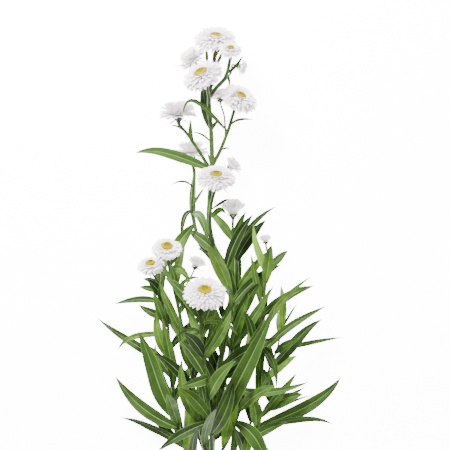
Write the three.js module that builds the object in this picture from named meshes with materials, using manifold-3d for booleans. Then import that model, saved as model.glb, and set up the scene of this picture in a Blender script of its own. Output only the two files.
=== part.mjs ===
// A cut, branching stem of a white double-flowered aster, lying on a table with its tips towards +Y.
// Millimetres, +Z up. Every leafy stem is one solid. Every bloom has its white rays and its yellow disc.
// Points are written from where the main stem is 80 mm above its cut end, and the whole is then centred.
import * as THREE from "three";
import Module from "manifold-3d";

const wasm = await Module();
wasm.setup();

// Driving dimensions
const CENTRING = [-7, -172, 0]; // brings the middle of the footprint to the origin
const GAP = 0.35; // between two solids that grow from each other
const LOWEST_MIDRIB = 0.6; // a midrib that lies on the table
const BLADE_THICK = 1.1;
const BLADE_FOLD = 0.3; // radians that each half of a leaf rises from the midrib
const RAY_THICK = 0.9;
const THINNEST_RAY = 0.65;
const BLOOM_RADIUS = 19; // the bloom that the sizes below are given for
const CORE_TOP = 5.2;
const STEM_STEP = 20; // between the rings of a stem
const { degToRad, lerp } = THREE.MathUtils;
const GOLDEN_ANGLE = degToRad(137.5);

const GREEN = { color: 0x4b7a34, roughness: 0.6, metalness: 0 };
const WHITE = { color: 0xf3f1f6, roughness: 0.75, metalness: 0 };
const YELLOW = { color: 0xe9c21a, roughness: 0.7, metalness: 0 };

// Stems: node that they belong to, radii at root and tip, and the points that they run through.
// A stem starts on the nearest point of the one that it leaves, the main stem unless "from" is given.
// A stem with a bloom ends at the bloom's seat, which is added to its points.
const STEMS = {
  main: {
    node: "main_stem", radius: [3.0, 1.9],
    points: [
      [0, -80, 3], [0, -40, 7], [0, 0, 15], [2, 40, 24], [7, 80, 30], [15, 120, 33], [19, 150, 34],
      [13, 182, 34], [1, 206, 34], [-3, 230, 34], [-2, 256, 33], [0, 285, 33], [-1, 320, 33],
      [-3, 350, 34], [0, 372, 33], [2, 388, 31],
    ],
  },
  twig_2: {
    node: "main_stem", radius: [1.9, 1.5],
    points: [[-2, 354, 34], [6, 364, 39], [14, 373, 48]],
  },
  twig_2b: {
    node: "main_stem", from: "twig_2", radius: [1.1, 0.8],
    points: [[-1, 360, 35], [11, 368, 30], [19, 378, 25]],
  },
  twig_3: {
    node: "main_stem", radius: [1.1, 0.9],
    points: [[0, 378, 37], [-5, 386, 34]],
  },
  twig_4: {
    node: "main_stem", radius: [1.6, 1.4],
    points: [[-3, 342, 34], [-3, 352, 42]],
  },
  twig_6: {
    node: "main_stem", radius: [1.8, 1.5],
    points: [[-1, 284, 33], [8, 299, 36], [16, 319, 38], [20, 332, 41]],
  },
  twig_5: {
    node: "main_stem", from: "twig_6", radius: [1.0, 0.8],
    points: [[13, 314, 36], [13, 326, 28], [12, 336, 21]],
  },
  twig_7: {
    node: "main_stem", radius: [1.7, 1.4],
    points: [[-1, 278, 33], [-13, 299, 35], [-24, 315, 37]],
  },
  twig_9: {
    node: "main_stem", radius: [1.7, 1.5],
    points: [[0, 208, 34], [-2, 226, 41], [-1, 244, 47]],
  },
  twig_10: {
    node: "main_stem", radius: [1.0, 0.8],
    points: [[-2, 252, 33], [6, 266, 25], [12, 276, 15]],
  },
  upper_left: {
    node: "upper_left_stem", radius: [2.2, 1.5],
    points: [
      [12, 184, 34], [0, 195, 29], [-11, 204, 24], [-16, 218, 20], [-20, 240, 17],
      [-19, 262, 16], [-18, 278, 15.5],
    ],
  },
  left: {
    node: "left_stem", radius: [2.0, 1.2],
    points: [
      [0, -30, 9], [-9, 5, 19], [-15, 40, 27], [-20, 72, 32], [-27, 108, 37], [-33, 140, 40],
      [-39, 166, 42], [-42, 180, 43],
    ],
  },
  twig_16: {
    node: "left_stem", from: "left", radius: [1.0, 0.8],
    points: [[-34, 144, 38], [-30, 156, 28], [-24, 168, 19]],
  },
  left_outer: {
    node: "left_outer_stem", radius: [1.9, 1.1],
    points: [
      [0, -58, 5], [-14, -32, 9], [-26, -6, 13], [-34, 22, 17], [-39, 52, 20], [-42, 85, 23],
      [-44, 120, 26], [-48, 150, 29], [-52, 164, 31],
    ],
  },
  front: {
    node: "front_stem", radius: [1.9, 1.2],
    points: [
      [0, -6, 13], [-1, 14, 28], [-3, 40, 41], [-6, 72, 50], [-9, 104, 56], [-11, 128, 59],
    ],
  },
  right: {
    node: "right_stem", radius: [1.9, 1.1],
    points: [
      [1, 22, 20], [8, 48, 21], [16, 80, 20], [23, 120, 20], [26, 160, 21], [24, 200, 22],
      [21, 220, 22],
    ],
  },
  right_outer: {
    node: "right_outer_stem", radius: [1.6, 0.9],
    points: [
      [0, -18, 11], [16, 8, 20], [28, 40, 27], [37, 78, 30], [45, 112, 31], [51, 142, 31],
      [53, 160, 31], [55, 174, 30], [58, 188, 29],
    ],
  },
  far_right: {
    node: "far_right_stem", radius: [1.5, 0.8],
    points: [
      [0, -44, 7], [18, -20, 12], [33, 8, 17], [44, 42, 20], [53, 66, 21], [59, 84, 22],
      [66, 102, 23], [70, 124, 24],
    ],
  },
  low_right: {
    node: "low_right_stem", radius: [1.6, 0.9],
    points: [
      [0, -66, 4], [16, -46, 8], [31, -18, 13], [41, 12, 17], [47, 26, 19], [54, 40, 21],
      [60, 52, 22],
    ],
  },
};

// Blooms: the stem that carries each, the seat where it meets its cup, the way that it faces,
// its radius, how far it is still closed (0 to 1), how much wider than usual its disc is, whether
// it is full, with long rays that stand up round the disc, and its rays in a row and its rows.
const BLOOMS = [
  {
    name: "bloom_01", stem: "main",
    seat: [3.5, 408.5, 35], face: [0.02, 0.86, 0.48],
    radius: 20.5, closed: 0, heart: 1, full: false, rays: 12, rows: 4,
  },
  {
    name: "bloom_02", stem: "twig_2",
    seat: [18.5, 396.5, 66], face: [0.02, 0.8, 0.6],
    radius: 10.8, closed: 0, heart: 1, full: false, rays: 12, rows: 3,
  },
  {
    name: "bloom_03", stem: "twig_3",
    seat: [-18.5, 390.5, 27], face: [-0.6, 0.7, 0.38],
    radius: 13.5, closed: 0.1, heart: 1, full: true, rays: 12, rows: 3,
  },
  {
    name: "bloom_04", stem: "twig_4",
    seat: [-8.5, 371, 58], face: [-0.38, 0.75, 0.54],
    radius: 19.8, closed: 0, heart: 1.25, full: false, rays: 12, rows: 4,
  },
  {
    name: "bloom_05", stem: "twig_5",
    seat: [8, 352, 17], face: [-0.15, 0.9, -0.1],
    radius: 11.5, closed: 0.3, heart: 1, full: true, rays: 11, rows: 2,
  },
  {
    name: "bloom_06", stem: "twig_6",
    seat: [26.5, 349, 51], face: [0.38, 0.74, 0.55],
    radius: 18.3, closed: 0, heart: 1, full: false, rays: 12, rows: 4,
  },
  {
    name: "bloom_07", stem: "twig_7",
    seat: [-33.7, 333, 38], face: [-0.06, 0.98, 0.14],
    radius: 18, closed: 0.1, heart: 1, full: true, rays: 12, rows: 4,
  },
  {
    name: "bloom_08", stem: "upper_left",
    seat: [-21, 295.6, 17.175], face: [-0.04, 0.98, 0.14],
    radius: 16.5, closed: 0.1, heart: 1, full: true, rays: 12, rows: 3,
  },
  {
    name: "bloom_09", stem: "twig_9",
    seat: [4.3, 270, 55], face: [0.03, 0.85, 0.52],
    radius: 18.3, closed: 0, heart: 1.15, full: false, rays: 12, rows: 4,
  },
  {
    name: "bloom_10", stem: "twig_10",
    seat: [18, 283, 14.075], face: [0.75, 0.66, 0.03],
    radius: 11, closed: 0.4, heart: 1, full: true, rays: 9, rows: 2,
  },
  {
    name: "bloom_11", stem: "right",
    seat: [21, 236, 22.5], face: [0, 0.98, 0.15],
    radius: 15.5, closed: 0.62, heart: 1, full: true, rays: 11, rows: 3,
  },
  {
    name: "bloom_12", stem: "right_outer",
    seat: [54, 208, 27], face: [-0.1, 0.97, 0.1],
    radius: 8, closed: 0.6, heart: 1, full: true, rays: 8, rows: 1,
  },
  {
    name: "bloom_13", stem: "left",
    seat: [-45, 200.5, 46], face: [0.04, 0.79, 0.61],
    radius: 14.3, closed: 0, heart: 1.4, full: false, rays: 12, rows: 3,
  },
  {
    name: "bloom_14", stem: "left_outer",
    seat: [-61, 183.3, 33], face: [-0.12, 0.85, 0.5],
    radius: 13.3, closed: 0, heart: 1.3, full: false, rays: 12, rows: 3,
  },
  {
    name: "bloom_15", stem: "front",
    seat: [-7, 156, 66], face: [0.03, 0.8, 0.6],
    radius: 20.6, closed: 0, heart: 1.15, full: false, rays: 12, rows: 4,
  },
  {
    name: "bloom_16", stem: "twig_16",
    seat: [-17, 183, 13], face: [0.36, 0.92, 0.05],
    radius: 11, closed: 0.5, heart: 1, full: true, rays: 9, rows: 2,
  },
  {
    name: "bloom_2b", stem: "twig_2b",
    seat: [27, 384.5, 21], face: [0.92, -0.25, -0.1],
    radius: 8.5, closed: 0.4, heart: 1, full: true, rays: 9, rows: 2,
  },
];

// Leaves seen one by one: the stem, the point on it nearest which they grow, two points that bend
// the midrib, the tip, the width, and the roll of the blade about its midrib in degrees.
const LEAVES = [
  ["main", [0, 281], [-24, 289, 36], [-52, 303, 34], [-76, 296, 26], 11, 14],
  ["twig_6", [15, 319], [-2, 335, 46], [-26, 368, 48], [-29, 331, 44], 4.6, 0],
  ["twig_6", [17, 322], [22, 332, 42], [32, 331, 42], [42, 330, 40], 2.8, 0],
  ["twig_7", [-24, 315], [-31, 323, 36], [-37, 326, 36], [-42, 324, 35], 2.2, 0],
  ["twig_7", [-18, 306], [-22, 311, 42], [-22, 320, 46], [-21, 331, 50], 4.6, 0],
  ["main", [-1, 306], [-6, 314, 38], [-12, 318, 34], [-20, 318, 30], 2.4, 0],
  ["main", [-1, 320], [-6, 334, 42], [-8, 352, 46], [-10, 372, 44], 10, -10],
  ["twig_6", [8, 299], [12, 302, 34], [15, 303, 33], [18, 301, 32], 2.2, 0],
  ["twig_2", [13, 376], [17, 374, 40], [18, 368, 40], [17, 361, 38], 2.8, 0],
  ["twig_3", [-6, 386], [-18, 383, 30], [-28, 387, 28], [-39, 385, 27], 2.2, 0],
  ["twig_3", [-5, 386], [-5, 391, 42], [-5, 396, 46], [-6, 402, 48], 3.4, 0],
  ["main", [1, 382], [7, 388, 42], [9, 393, 44], [11, 400, 46], 3.4, 0],
  ["twig_2", [14, 373], [22, 379, 48], [27, 385, 49], [31, 393, 50], 3.4, 0],
  ["upper_left", [-19, 262], [-24, 271, 19], [-33, 271, 18], [-42, 265, 16], 2.6, 0],
  ["upper_left", [-20, 238], [-27, 241, 26], [-31, 228, 28], [-30, 210, 26], 6, 20],
  ["upper_left", [-19, 234], [-14, 242, 44], [-7, 228, 46], [-4, 208, 45], 9, -12],
  ["upper_left", [-19, 226], [-22, 242, 24], [-20, 260, 24], [-17, 284, 22], 7, 0],
  ["upper_left", [-20, 242], [-17, 250, 26], [-12, 257, 30], [-7, 263, 32], 3, 0],
  ["twig_9", [2, 240], [8, 246, 46], [12, 250, 46], [17, 251, 44], 3, 0],
  ["right", [24, 200], [31, 215, 34], [44, 234, 38], [65, 244, 38], 5.6, 0],
  ["right", [25, 190], [19, 211, 34], [26, 224, 38], [34, 239, 38], 8.5, 10],
  ["right", [25, 146], [14, 170, 48], [10, 200, 52], [-15, 201, 48], 16, -18],
  ["right", [26, 152], [22, 175, 40], [20, 196, 42], [29, 218, 40], 14, 14],
  ["right", [26, 160], [36, 175, 30], [46, 188, 34], [56, 199, 36], 9, 0],
  ["right_outer", [55, 174], [50, 188, 38], [42, 202, 42], [41, 226, 42], 8.5, 24],
  ["right_outer", [50, 140], [46, 160, 36], [42, 178, 38], [39, 196, 38], 6.5, 0],
  ["right_outer", [44, 108], [56, 132, 42], [69, 155, 46], [99, 174, 42], 7, 16],
  ["far_right", [70, 122], [72, 135, 30], [71, 150, 34], [69, 165, 36], 8, 0],
  ["right_outer", [36, 76], [56, 114, 40], [86, 131, 42], [114, 144, 36], 8.5, -12],
  ["far_right", [58, 82], [74, 92, 26], [85, 117, 24], [111, 130, 18], 12, 18],
  ["far_right", [70, 118], [75, 130, 24], [80, 138, 22], [86, 146, 18], 2.6, 0],
  ["far_right", [65, 100], [84, 102, 18], [106, 109, 12], [133, 111, 8], 5, 0],
  ["right_outer", [43, 102], [54, 108, 40], [66, 90, 42], [64, 62, 37], 7, 0],
  ["far_right", [46, 48], [46, 70, 20], [50, 100, 18], [53, 124, 16], 8.5, 0],
  ["low_right", [50, 32], [56, 42, 28], [70, 57, 32], [85, 77, 32], 9, 10],
  ["right", [12, 64], [38, 54, 42], [63, 56, 46], [97, 69, 42], 8.5, -10],
  ["low_right", [56, 43], [66, 47, 20], [81, 54, 18], [94, 61, 14], 5, 0],
  ["low_right", [54, 40], [63, 33, 16], [83, 52, 12], [104, 52, 8], 2.8, 0],
  ["low_right", [44, 21], [75, 30, 3], [112, 42, 1.5], [131, 70, 0], 14, 0],
  ["low_right", [45, 22], [73, 25, 16], [100, 36, 12], [123, 22, 4], 7, 16],
  ["right_outer", [22, 26], [40, 22, 38], [50, 6, 34], [58, -25, 22], 16, 8],
  ["left_outer", [-42, 82], [-60, 95, 8], [-87, 105, 1.5], [-118, 131, 0], 9, 0],
  ["left_outer", [-44, 118], [-62, 112, 24], [-84, 120, 22], [-96, 98, 12], 6.5, 0],
  ["left_outer", [-47, 146], [-62, 153, 28], [-80, 151, 24], [-99, 145, 16], 7, 10],
  ["left_outer", [-45, 130], [-55, 135, 30], [-64, 138, 30], [-74, 145, 26], 8.5, 0],
  ["left_outer", [-50, 158], [-57, 161, 30], [-66, 162, 30], [-73, 163, 28], 6.5, 0],
  ["left_outer", [-52, 164], [-57, 169, 28], [-63, 170, 24], [-70, 171, 20], 6, 0],
  ["left_outer", [-36, 30], [-52, 46, 26], [-57, 85, 30], [-74, 119, 30], 18, -16],
  ["left_outer", [-34, 20], [-55, 28, 20], [-80, 42, 16], [-98, 72, 12], 13.5, 12],
  ["left_outer", [-29, 4], [-52, 22, 8], [-67, 38, 3], [-90, 55, 0], 8, 0],
  ["front", [-2, 28], [-22, 22, 44], [-37, 14, 44], [-54, -1, 36], 10, 10],
  ["front", [-6, 72], [0, 76, 58], [-16, 69, 62], [-31, 65, 58], 11.5, -14],
  ["main", [0, 12], [12, 44, 52], [36, 86, 60], [63, 146, 56], 19, 6],
  ["right", [14, 72], [28, 80, 36], [40, 98, 42], [52, 132, 44], 14, -6],
  ["right", [20, 104], [33, 116, 34], [43, 137, 42], [62, 165, 44], 10, -8],
  ["front", [-11, 128], [0, 134, 66], [14, 133, 66], [26, 116, 62], 7.5, -12],
  ["left", [-26, 104], [-29, 118, 50], [-18, 119, 54], [-12, 99, 50], 7, 0],
  ["left", [-19, 68], [-17, 78, 44], [-15, 88, 46], [-15, 97, 46], 8, 20],
  ["front", [-10, 118], [-18, 125, 58], [-26, 124, 58], [-36, 113, 54], 3.4, 0],
  ["front", [-10, 112], [-17, 126, 52], [-25, 118, 50], [-34, 103, 46], 5.4, 0],
  ["left", [-38, 162], [-41, 170, 46], [-44, 178, 48], [-50, 186, 44], 5, 0],
  ["left", [-28, 112], [-37, 132, 46], [-46, 150, 48], [-52, 168, 46], 8.5, 10],
  ["left_outer", [-40, 62], [-37, 80, 32], [-45, 105, 36], [-50, 132, 36], 11, 8],
  ["left", [-22, 82], [-28, 92, 44], [-30, 112, 46], [-33, 132, 48], 7.5, -10],
  ["left", [-35, 148], [-32, 164, 48], [-26, 152, 50], [-29, 138, 48], 8, 0],
  ["main", [2, 112], [8, 128, 42], [14, 142, 48], [26, 157, 50], 6.4, 0],
  ["main", [2, 96], [6, 112, 46], [12, 130, 54], [20, 150, 56], 7, 12],
  ["main", [3, 128], [6, 140, 44], [8, 152, 48], [13, 164, 50], 6, 0],
  ["front", [-9, 100], [2, 108, 62], [4, 122, 64], [12, 136, 64], 7, 8],
  ["main", [-2, 232], [6, 240, 40], [9, 244, 42], [14, 236, 40], 6, 0],
  ["left", [-13, 26], [-22, 42, 40], [-34, 60, 44], [-30, 92, 42], 12, 10],
  ["main", [0, 20], [-12, 30, 12], [-24, 48, 14], [-28, 78, 12], 13, -8],
  ["main", [0, 8], [12, 22, 10], [24, 38, 8], [30, 68, 8], 14, 8],
  ["front", [-1, 14], [8, 26, 44], [18, 44, 50], [22, 72, 48], 12, -6],
  ["left_outer", [-28, 2], [-36, 20, 8], [-44, 44, 8], [-40, 74, 6], 12, 12],
  ["left_outer", [-20, -18], [-25, 2, 20], [-21, 24, 24], [-27, 50, 24], 12, 0],
  ["right", [5, 38], [18, 48, 30], [30, 66, 32], [35, 96, 30], 12, 6],
  ["right", [17, 84], [22, 98, 12], [26, 114, 10], [38, 138, 12], 11, -8],
  ["right_outer", [12, 0], [14, 18, 32], [22, 38, 36], [26, 64, 36], 12, 0],
  ["left_outer", [-42, 90], [-51, 104, 36], [-58, 118, 40], [-55, 144, 38], 10, 0],
  ["left_outer", [-38, 46], [-49, 60, 34], [-60, 78, 38], [-57, 106, 38], 11, 10],
  ["low_right", [18, -42], [27, -24, 22], [38, -6, 26], [36, 24, 26], 12, 0],
  ["left", [-41, 177], [-36, 188, 50], [-28, 182, 52], [-20, 165, 48], 8, 0],
  ["left", [-37, 156], [-35, 166, 52], [-37, 178, 54], [-43, 190, 52], 6.5, 0],
  ["left", [-32, 136], [-27, 148, 50], [-26, 158, 52], [-31, 172, 50], 6.5, 0],
  ["left_outer", [-47, 146], [-53, 152, 38], [-52, 164, 40], [-45, 177, 40], 6.5, 0],
  ["left_outer", [-44, 122], [-51, 132, 40], [-54, 146, 42], [-59, 160, 42], 8, 0],
  ["left", [-24, 98], [-20, 112, 48], [-18, 128, 50], [-24, 146, 48], 8, 0],
  ["left", [-36, 154], [-33, 166, 50], [-25, 175, 50], [-11, 173, 44], 4, 0],
  ["front", [-9, 104], [-13, 118, 50], [-21, 136, 44], [-29, 149, 38], 8, 0],
  ["front", [-8, 96], [-1, 110, 50], [5, 126, 46], [0, 142, 38], 9, 0],
  ["front", [-8, 92], [3, 108, 52], [14, 122, 48], [19, 142, 42], 9, 8],
  ["right", [24, 122], [17, 136, 28], [19, 152, 34], [28, 168, 32], 10, 0],
  ["right", [20, 100], [22, 116, 40], [28, 132, 44], [37, 158, 44], 10, 10],
  ["right_outer", [38, 86], [42, 104, 44], [47, 128, 48], [58, 162, 48], 11, 0],
];

// Leaves placed by a rule, alternately round each stem: first and last share of the stem's length,
// how many, their length and their width.
const FOLIAGE = [
  { stem: "main", from: 0.09, to: 0.44, count: 11, length: 72, width: 13 },
  { stem: "main", from: 0.64, to: 0.9, count: 5, length: 26, width: 4 },
  { stem: "left", from: 0.1, to: 0.8, count: 9, length: 62, width: 11.5 },
  { stem: "left_outer", from: 0.14, to: 0.78, count: 9, length: 56, width: 10.5 },
  { stem: "front", from: 0.14, to: 0.92, count: 9, length: 60, width: 12 },
  { stem: "right", from: 0.1, to: 0.66, count: 9, length: 64, width: 11.5 },
  { stem: "right_outer", from: 0.1, to: 0.74, count: 8, length: 56, width: 10 },
  { stem: "far_right", from: 0.14, to: 0.92, count: 8, length: 52, width: 9 },
  { stem: "low_right", from: 0.14, to: 0.94, count: 8, length: 54, width: 11 },
];

// The ways in which a leaf gives way to what is already there: a lift in millimetres and,
// for the leaves placed by rule, a turn round the stem in degrees.
const LIFTS = [0, 5, -5, 10, -10, 16, -16, 22, -22, 30, -30];
const SMALL_LIFTS = LIFTS.slice(0, 5);
const TURNS = [0, 25, -25, 50, -50];
const BEND_SHARE = 0.6; // of a lift, at a leaf's first bend
const FLATTENED = 0.7; // spread up and down of the leaves placed by rule, to their spread sideways
const SHORTER_ABOVE = 0.45; // share of their length that such leaves lose from their stem's root to its tip
const NEAREST_TESTED = 0.05; // share of a leaf's length from which it has to be clear of everything else

// A number from 0 to 1 that is always the same for the same two whole numbers.
function draw(n, k) {
  const v = Math.sin(n * 12.9898 + k * 78.233) * 43758.5453;
  return v - Math.floor(v);
}

// A share from 0.8 to 1.2 by which the leaves placed by rule differ in size.
const varied = (n, k) => 0.8 + 0.4 * draw(n, k);

const vector = (p) => new THREE.Vector3(...p);

// A closed solid through rings of as many points each. A ring of one point ends it in a point.
// Quads are split towards every second point of a ring, so both faces of a blade split alike.
function loft(rings) {
  const points = rings.flat();
  const starts = [];
  rings.reduce((sum, ring) => (starts.push(sum), sum + ring.length), 0);
  const faces = [];
  rings.slice(1).forEach((ring, i) => {
    const [a, b] = [starts[i], starts[i + 1]];
    const n = Math.max(rings[i].length, ring.length);
    for (let k = 0; k < n; k++) {
      const next = (k + 1) % n;
      if (rings[i].length === 1) faces.push([a, b + next, b + k]);
      else if (ring.length === 1) faces.push([a + k, a + next, b]);
      else if (k % 2 === 0) faces.push([a + k, a + next, b + next], [a + k, b + next, b + k]);
      else faces.push([a + k, a + next, b + k], [a + next, b + next, b + k]);
    }
  });
  for (const [end, flip] of [[0, true], [rings.length - 1, false]]) {
    for (let k = 1; k + 1 < rings[end].length; k++) {
      const cap = [starts[end], starts[end] + k, starts[end] + k + 1];
      faces.push(flip ? cap.reverse() : cap);
    }
  }
  return solid(new Float32Array(points.flatMap((p) => p.toArray())), new Uint32Array(faces.flat()));
}

// A manifold from positions and faces, turned round if its faces point inwards.
function solid(vertProperties, triVerts) {
  const made = new wasm.Manifold(new wasm.Mesh({ numProp: 3, vertProperties, triVerts }));
  if (made.volume() >= 0) return made;
  for (let i = 0; i < triVerts.length; i += 3) triVerts.subarray(i, i + 3).reverse();
  return new wasm.Manifold(new wasm.Mesh({ numProp: 3, vertProperties, triVerts }));
}

// Lateral and normal directions of something that runs along a tangent and faces up, rolled about it.
function frameAt(tangent, roll) {
  const side = new THREE.Vector3(0, 0, 1).cross(tangent);
  if (side.length() < 0.05) side.set(1, 0, 0);
  side.normalize().applyAxisAngle(tangent, roll);
  return { side, normal: tangent.clone().cross(side).normalize() };
}

// A point beside another, by a distance to the side and one along the normal.
function beside(point, { side, normal }, across, above) {
  return point.clone().addScaledVector(side, across).addScaledVector(normal, above);
}

// A point of a stem's axis at a share of its length, on the straight pieces that its tube is made of.
function onAxis(name, share) {
  const at = share * (axes[name].length - 1);
  const i = Math.min(Math.floor(at), axes[name].length - 2);
  return axes[name][i].clone().lerp(axes[name][i + 1], at - i);
}

// The point of a stem's axis that is nearest to a point in the view from above.
function nearestOn(name, x, y) {
  const points = Array.from({ length: 241 }, (_, i) => onAxis(name, i / 240));
  const distance = (p) => Math.hypot(p.x - x, p.y - y);
  return points.reduce((best, p) => (distance(p) < distance(best) ? p : best));
}

// Each stem's centre line, and the centres of its tube's rings.
const lines = {};
const axes = {};
for (const [name, stem] of Object.entries(STEMS)) {
  const points = stem.points.map(vector);
  if (name !== "main") points[0] = nearestOn(stem.from ?? "main", points[0].x, points[0].y);
  const bloom = BLOOMS.find((b) => b.stem === name);
  if (bloom) {
    const face = vector(bloom.face).normalize();
    points.push(vector(bloom.seat).addScaledVector(face, -7), vector(bloom.seat).addScaledVector(face, -2));
  }
  lines[name] = new THREE.CatmullRomCurve3(points, false, "catmullrom", 0.5);
  axes[name] = lines[name].getPoints(Math.max(3, Math.round(lines[name].getLength() / STEM_STEP)));
}

// A stem's tube, round in as many sides, and thicker by an extra.
function tube(name, sides, extra = 0) {
  const [rootRadius, tipRadius] = STEMS[name].radius;
  const rings = axes[name].map((centre, i) => {
    const t = i / (axes[name].length - 1);
    const frame = frameAt(lines[name].getTangent(t), 0);
    const radius = lerp(rootRadius, tipRadius, t) + extra;
    return Array.from({ length: sides }, (_, k) => {
      const angle = (2 * Math.PI * k) / sides - Math.PI / 2;
      return beside(centre, frame, radius * Math.cos(angle), radius * Math.sin(angle));
    });
  });
  return loft(rings);
}

// Share of the full width of a leaf at a share of its length: narrow at its base, long-pointed.
function leafOutline(s) {
  return (0.35 * (1 - s) + Math.sin(Math.PI * s) ** 0.85) / 1.15;
}

// A leaf blade with a folded midrib, along a curve from its root in the stem to its tip.
function blade(curve, width, roll, stations, extra = 0) {
  const rings = (extra ? [NEAREST_TESTED, ...stations] : stations).map((s) => {
    const frame = frameAt(curve.getTangent(s), roll);
    const half = (leafOutline(s) * width) / 2 + extra;
    const thick = BLADE_THICK / 2 + extra;
    const at = (across, above) => beside(curve.getPoint(s), frame, across, above);
    const [out, up] = [half * Math.cos(BLADE_FOLD), half * Math.sin(BLADE_FOLD)];
    return [at(-out, up), at(0, thick), at(out, up), at(0, -thick)];
  });
  const start = extra ? [] : [[curve.getPoint(0)]];
  return loft([...start, ...rings, [curve.getPoint(1)]]);
}

// Shares of a leaf's length at which its blade has a section.
function stationsFor(length) {
  if (length > 60) return [0.13, 0.4, 0.72];
  return length > 20 ? [0.16, 0.56] : [0.4];
}

const raised = ([x, y, z], lift, lowest = LOWEST_MIDRIB) => vector([x, y, Math.max(z + lift, lowest)]);

// Every solid so far, with the node and the part of it that it belongs to.
const placed = [];
const place = (node, part, shape) => placed.push({ node, part, shape, box: shape.boundingBox() });

function boxesMeet(a, b) {
  return [0, 1, 2].every((i) => a.min[i] < b.max[i] && b.min[i] < a.max[i]);
}

function meets(shape, others) {
  const box = shape.boundingBox();
  return others.some((o) => boxesMeet(box, o.box) && o.shape.intersect(shape).volume() > 0);
}

function isClear(shape, stem) {
  const onTable = shape.boundingBox().min[2] >= -GAP - 0.001;
  return onTable && !meets(shape, placed.filter((o) => o.part !== stem));
}

// Puts the first of several ways to bend a leaf that is clear of everything else.
function growLeaf(stem, width, roll, curves, kept = []) {
  for (const curve of curves) {
    const stations = stationsFor(curve.getLength());
    const reach = blade(curve, width, roll, stations, GAP);
    if (!isClear(reach, stem) || meets(reach, kept)) continue;
    place(STEMS[stem].node, "leaf", blade(curve, width, roll, stations));
    return;
  }
}

function leafSeenInView([stem, root, bend1, bend2, tip, width, rollDegrees]) {
  const start = nearestOn(stem, ...root);
  const curves = LIFTS.map((lift) => {
    const through = [raised(bend1, BEND_SHARE * lift), raised(bend2, lift), raised(tip, lift, 0)];
    return new THREE.CubicBezierCurve3(start, ...through);
  });
  growLeaf(stem, width, degToRad(rollDegrees), curves);
}

// The room above each bloom, which the leaves placed by rule leave open.
const overBlooms = BLOOMS.map((bloom) => {
  const centre = vector(bloom.seat).addScaledVector(vector(bloom.face), 0.3 * bloom.radius);
  const at = (x, y, z) => new THREE.Vector3(x, y, z).add(centre);
  const [radius, height, sides] = [0.9 * bloom.radius, 200, 12];
  const shape = spiked(at, [[radius, 0], [radius, height]], sides, []);
  return { shape, box: shape.boundingBox() };
});

// Where a leaf placed by rule bends and ends: shares of its length along the stem, shares of its
// spread away from it, and the share of a lift that reaches there.
const RULED_COURSE = [[0.28, 0.2, BEND_SHARE], [0.62, 0.66, 1], [0.8, 1.15, 1]];

function leafByRule(row, rowIndex, i) {
  const n = 100 * rowIndex + i;
  const t = lerp(row.from, row.to, i / (row.count - 1));
  const [start, along] = [onAxis(row.stem, t), lines[row.stem].getTangent(t)];
  const length = row.length * (1 - SHORTER_ABOVE * t) * varied(n, 1);
  const spread = (0.45 + 0.4 * draw(n, 2)) * length;
  const width = row.width * varied(n, 3);
  const roll = 0.9 * (draw(n, 4) - 0.5);
  const curves = TURNS.flatMap((turn) => {
    const angle = GOLDEN_ANGLE * i + rowIndex + degToRad(turn);
    const [across, above] = [Math.cos(angle), FLATTENED * Math.sin(angle)];
    const out = beside(new THREE.Vector3(), frameAt(along, 0), across, above);
    return SMALL_LIFTS.map((lift) => {
      const through = RULED_COURSE.map(([up, away, share]) => {
        const p = start.clone().addScaledVector(along, up * length).addScaledVector(out, away * spread);
        return raised(p.toArray(), share * lift);
      });
      return new THREE.CubicBezierCurve3(start, ...through);
    });
  });
  growLeaf(row.stem, width, roll, curves, overBlooms);
}

// Places a bloom's own points, given in its frame with the face along +Z, in the part.
function bloomFrame({ seat, face }) {
  const up = new THREE.Vector3(0, 0, 1);
  const turn = new THREE.Quaternion().setFromUnitVectors(up, vector(face).normalize());
  return (x, y, z) => new THREE.Vector3(x, y, z).applyQuaternion(turn).add(vector(seat));
}

// A closed solid of revolution in triangles: every ring has as many points and is turned half a step
// from the one below. Spikes, one function for each band, give for a facet's middle angle the points
// that it grows out to: a ring of three and a tip, only a tip, or nothing.
function spiked(at, profile, sides, spikes) {
  const step = (2 * Math.PI) / sides;
  const ring = ([radius, height], r) =>
    Array.from({ length: sides }, (_, k) => {
      const angle = (k + r / 2) * step;
      return at(radius * Math.cos(angle), radius * Math.sin(angle), height);
    });
  const rings = profile.map(ring);
  const vertices = rings.flat();
  const faces = [];
  const add = (p) => vertices.push(p) - 1;
  rings.slice(1).forEach((_, r) => {
    for (let k = 0; k < sides; k++) {
      const next = (k + 1) % sides;
      const [a, b] = [r * sides, (r + 1) * sides];
      const facet = [a + k, a + next, b + k];
      faces.push([b + k, a + next, b + next]);
      const grown = spikes[r]?.((k + r / 2 + 0.5) * step, k);
      if (!grown) faces.push(facet);
      else {
        const tip = add(grown.tip);
        const rim = grown.ring ? grown.ring.map(add) : facet;
        for (const [i, n] of [[0, 1], [1, 2], [2, 0]]) {
          if (grown.ring) faces.push([facet[i], facet[n], rim[n]], [facet[i], rim[n], rim[i]]);
          faces.push([rim[i], rim[n], tip]);
        }
      }
    }
  });
  const last = (rings.length - 1) * sides;
  for (let k = 1; k + 1 < sides; k++) faces.push([0, k + 1, k], [last, last + k, last + k + 1]);
  return solid(new Float32Array(vertices.flatMap((p) => p.toArray())), new Uint32Array(faces.flat()));
}

// A point of a strap that leaves the axis at a radius and height, rising and then curling.
function strapPoint(at, angle, { radius, height, rise, curl, length }, share, across, above) {
  const lean = rise + curl * share;
  const middle = rise + (curl * share) / 2;
  const out = radius + length * share * Math.cos(middle) - above * Math.sin(lean);
  const up = height + length * share * Math.sin(middle) + above * Math.cos(lean);
  const [cos, sin] = [Math.cos(angle), Math.sin(angle)];
  return at(out * cos - across * sin, out * sin + across * cos, up);
}

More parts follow.
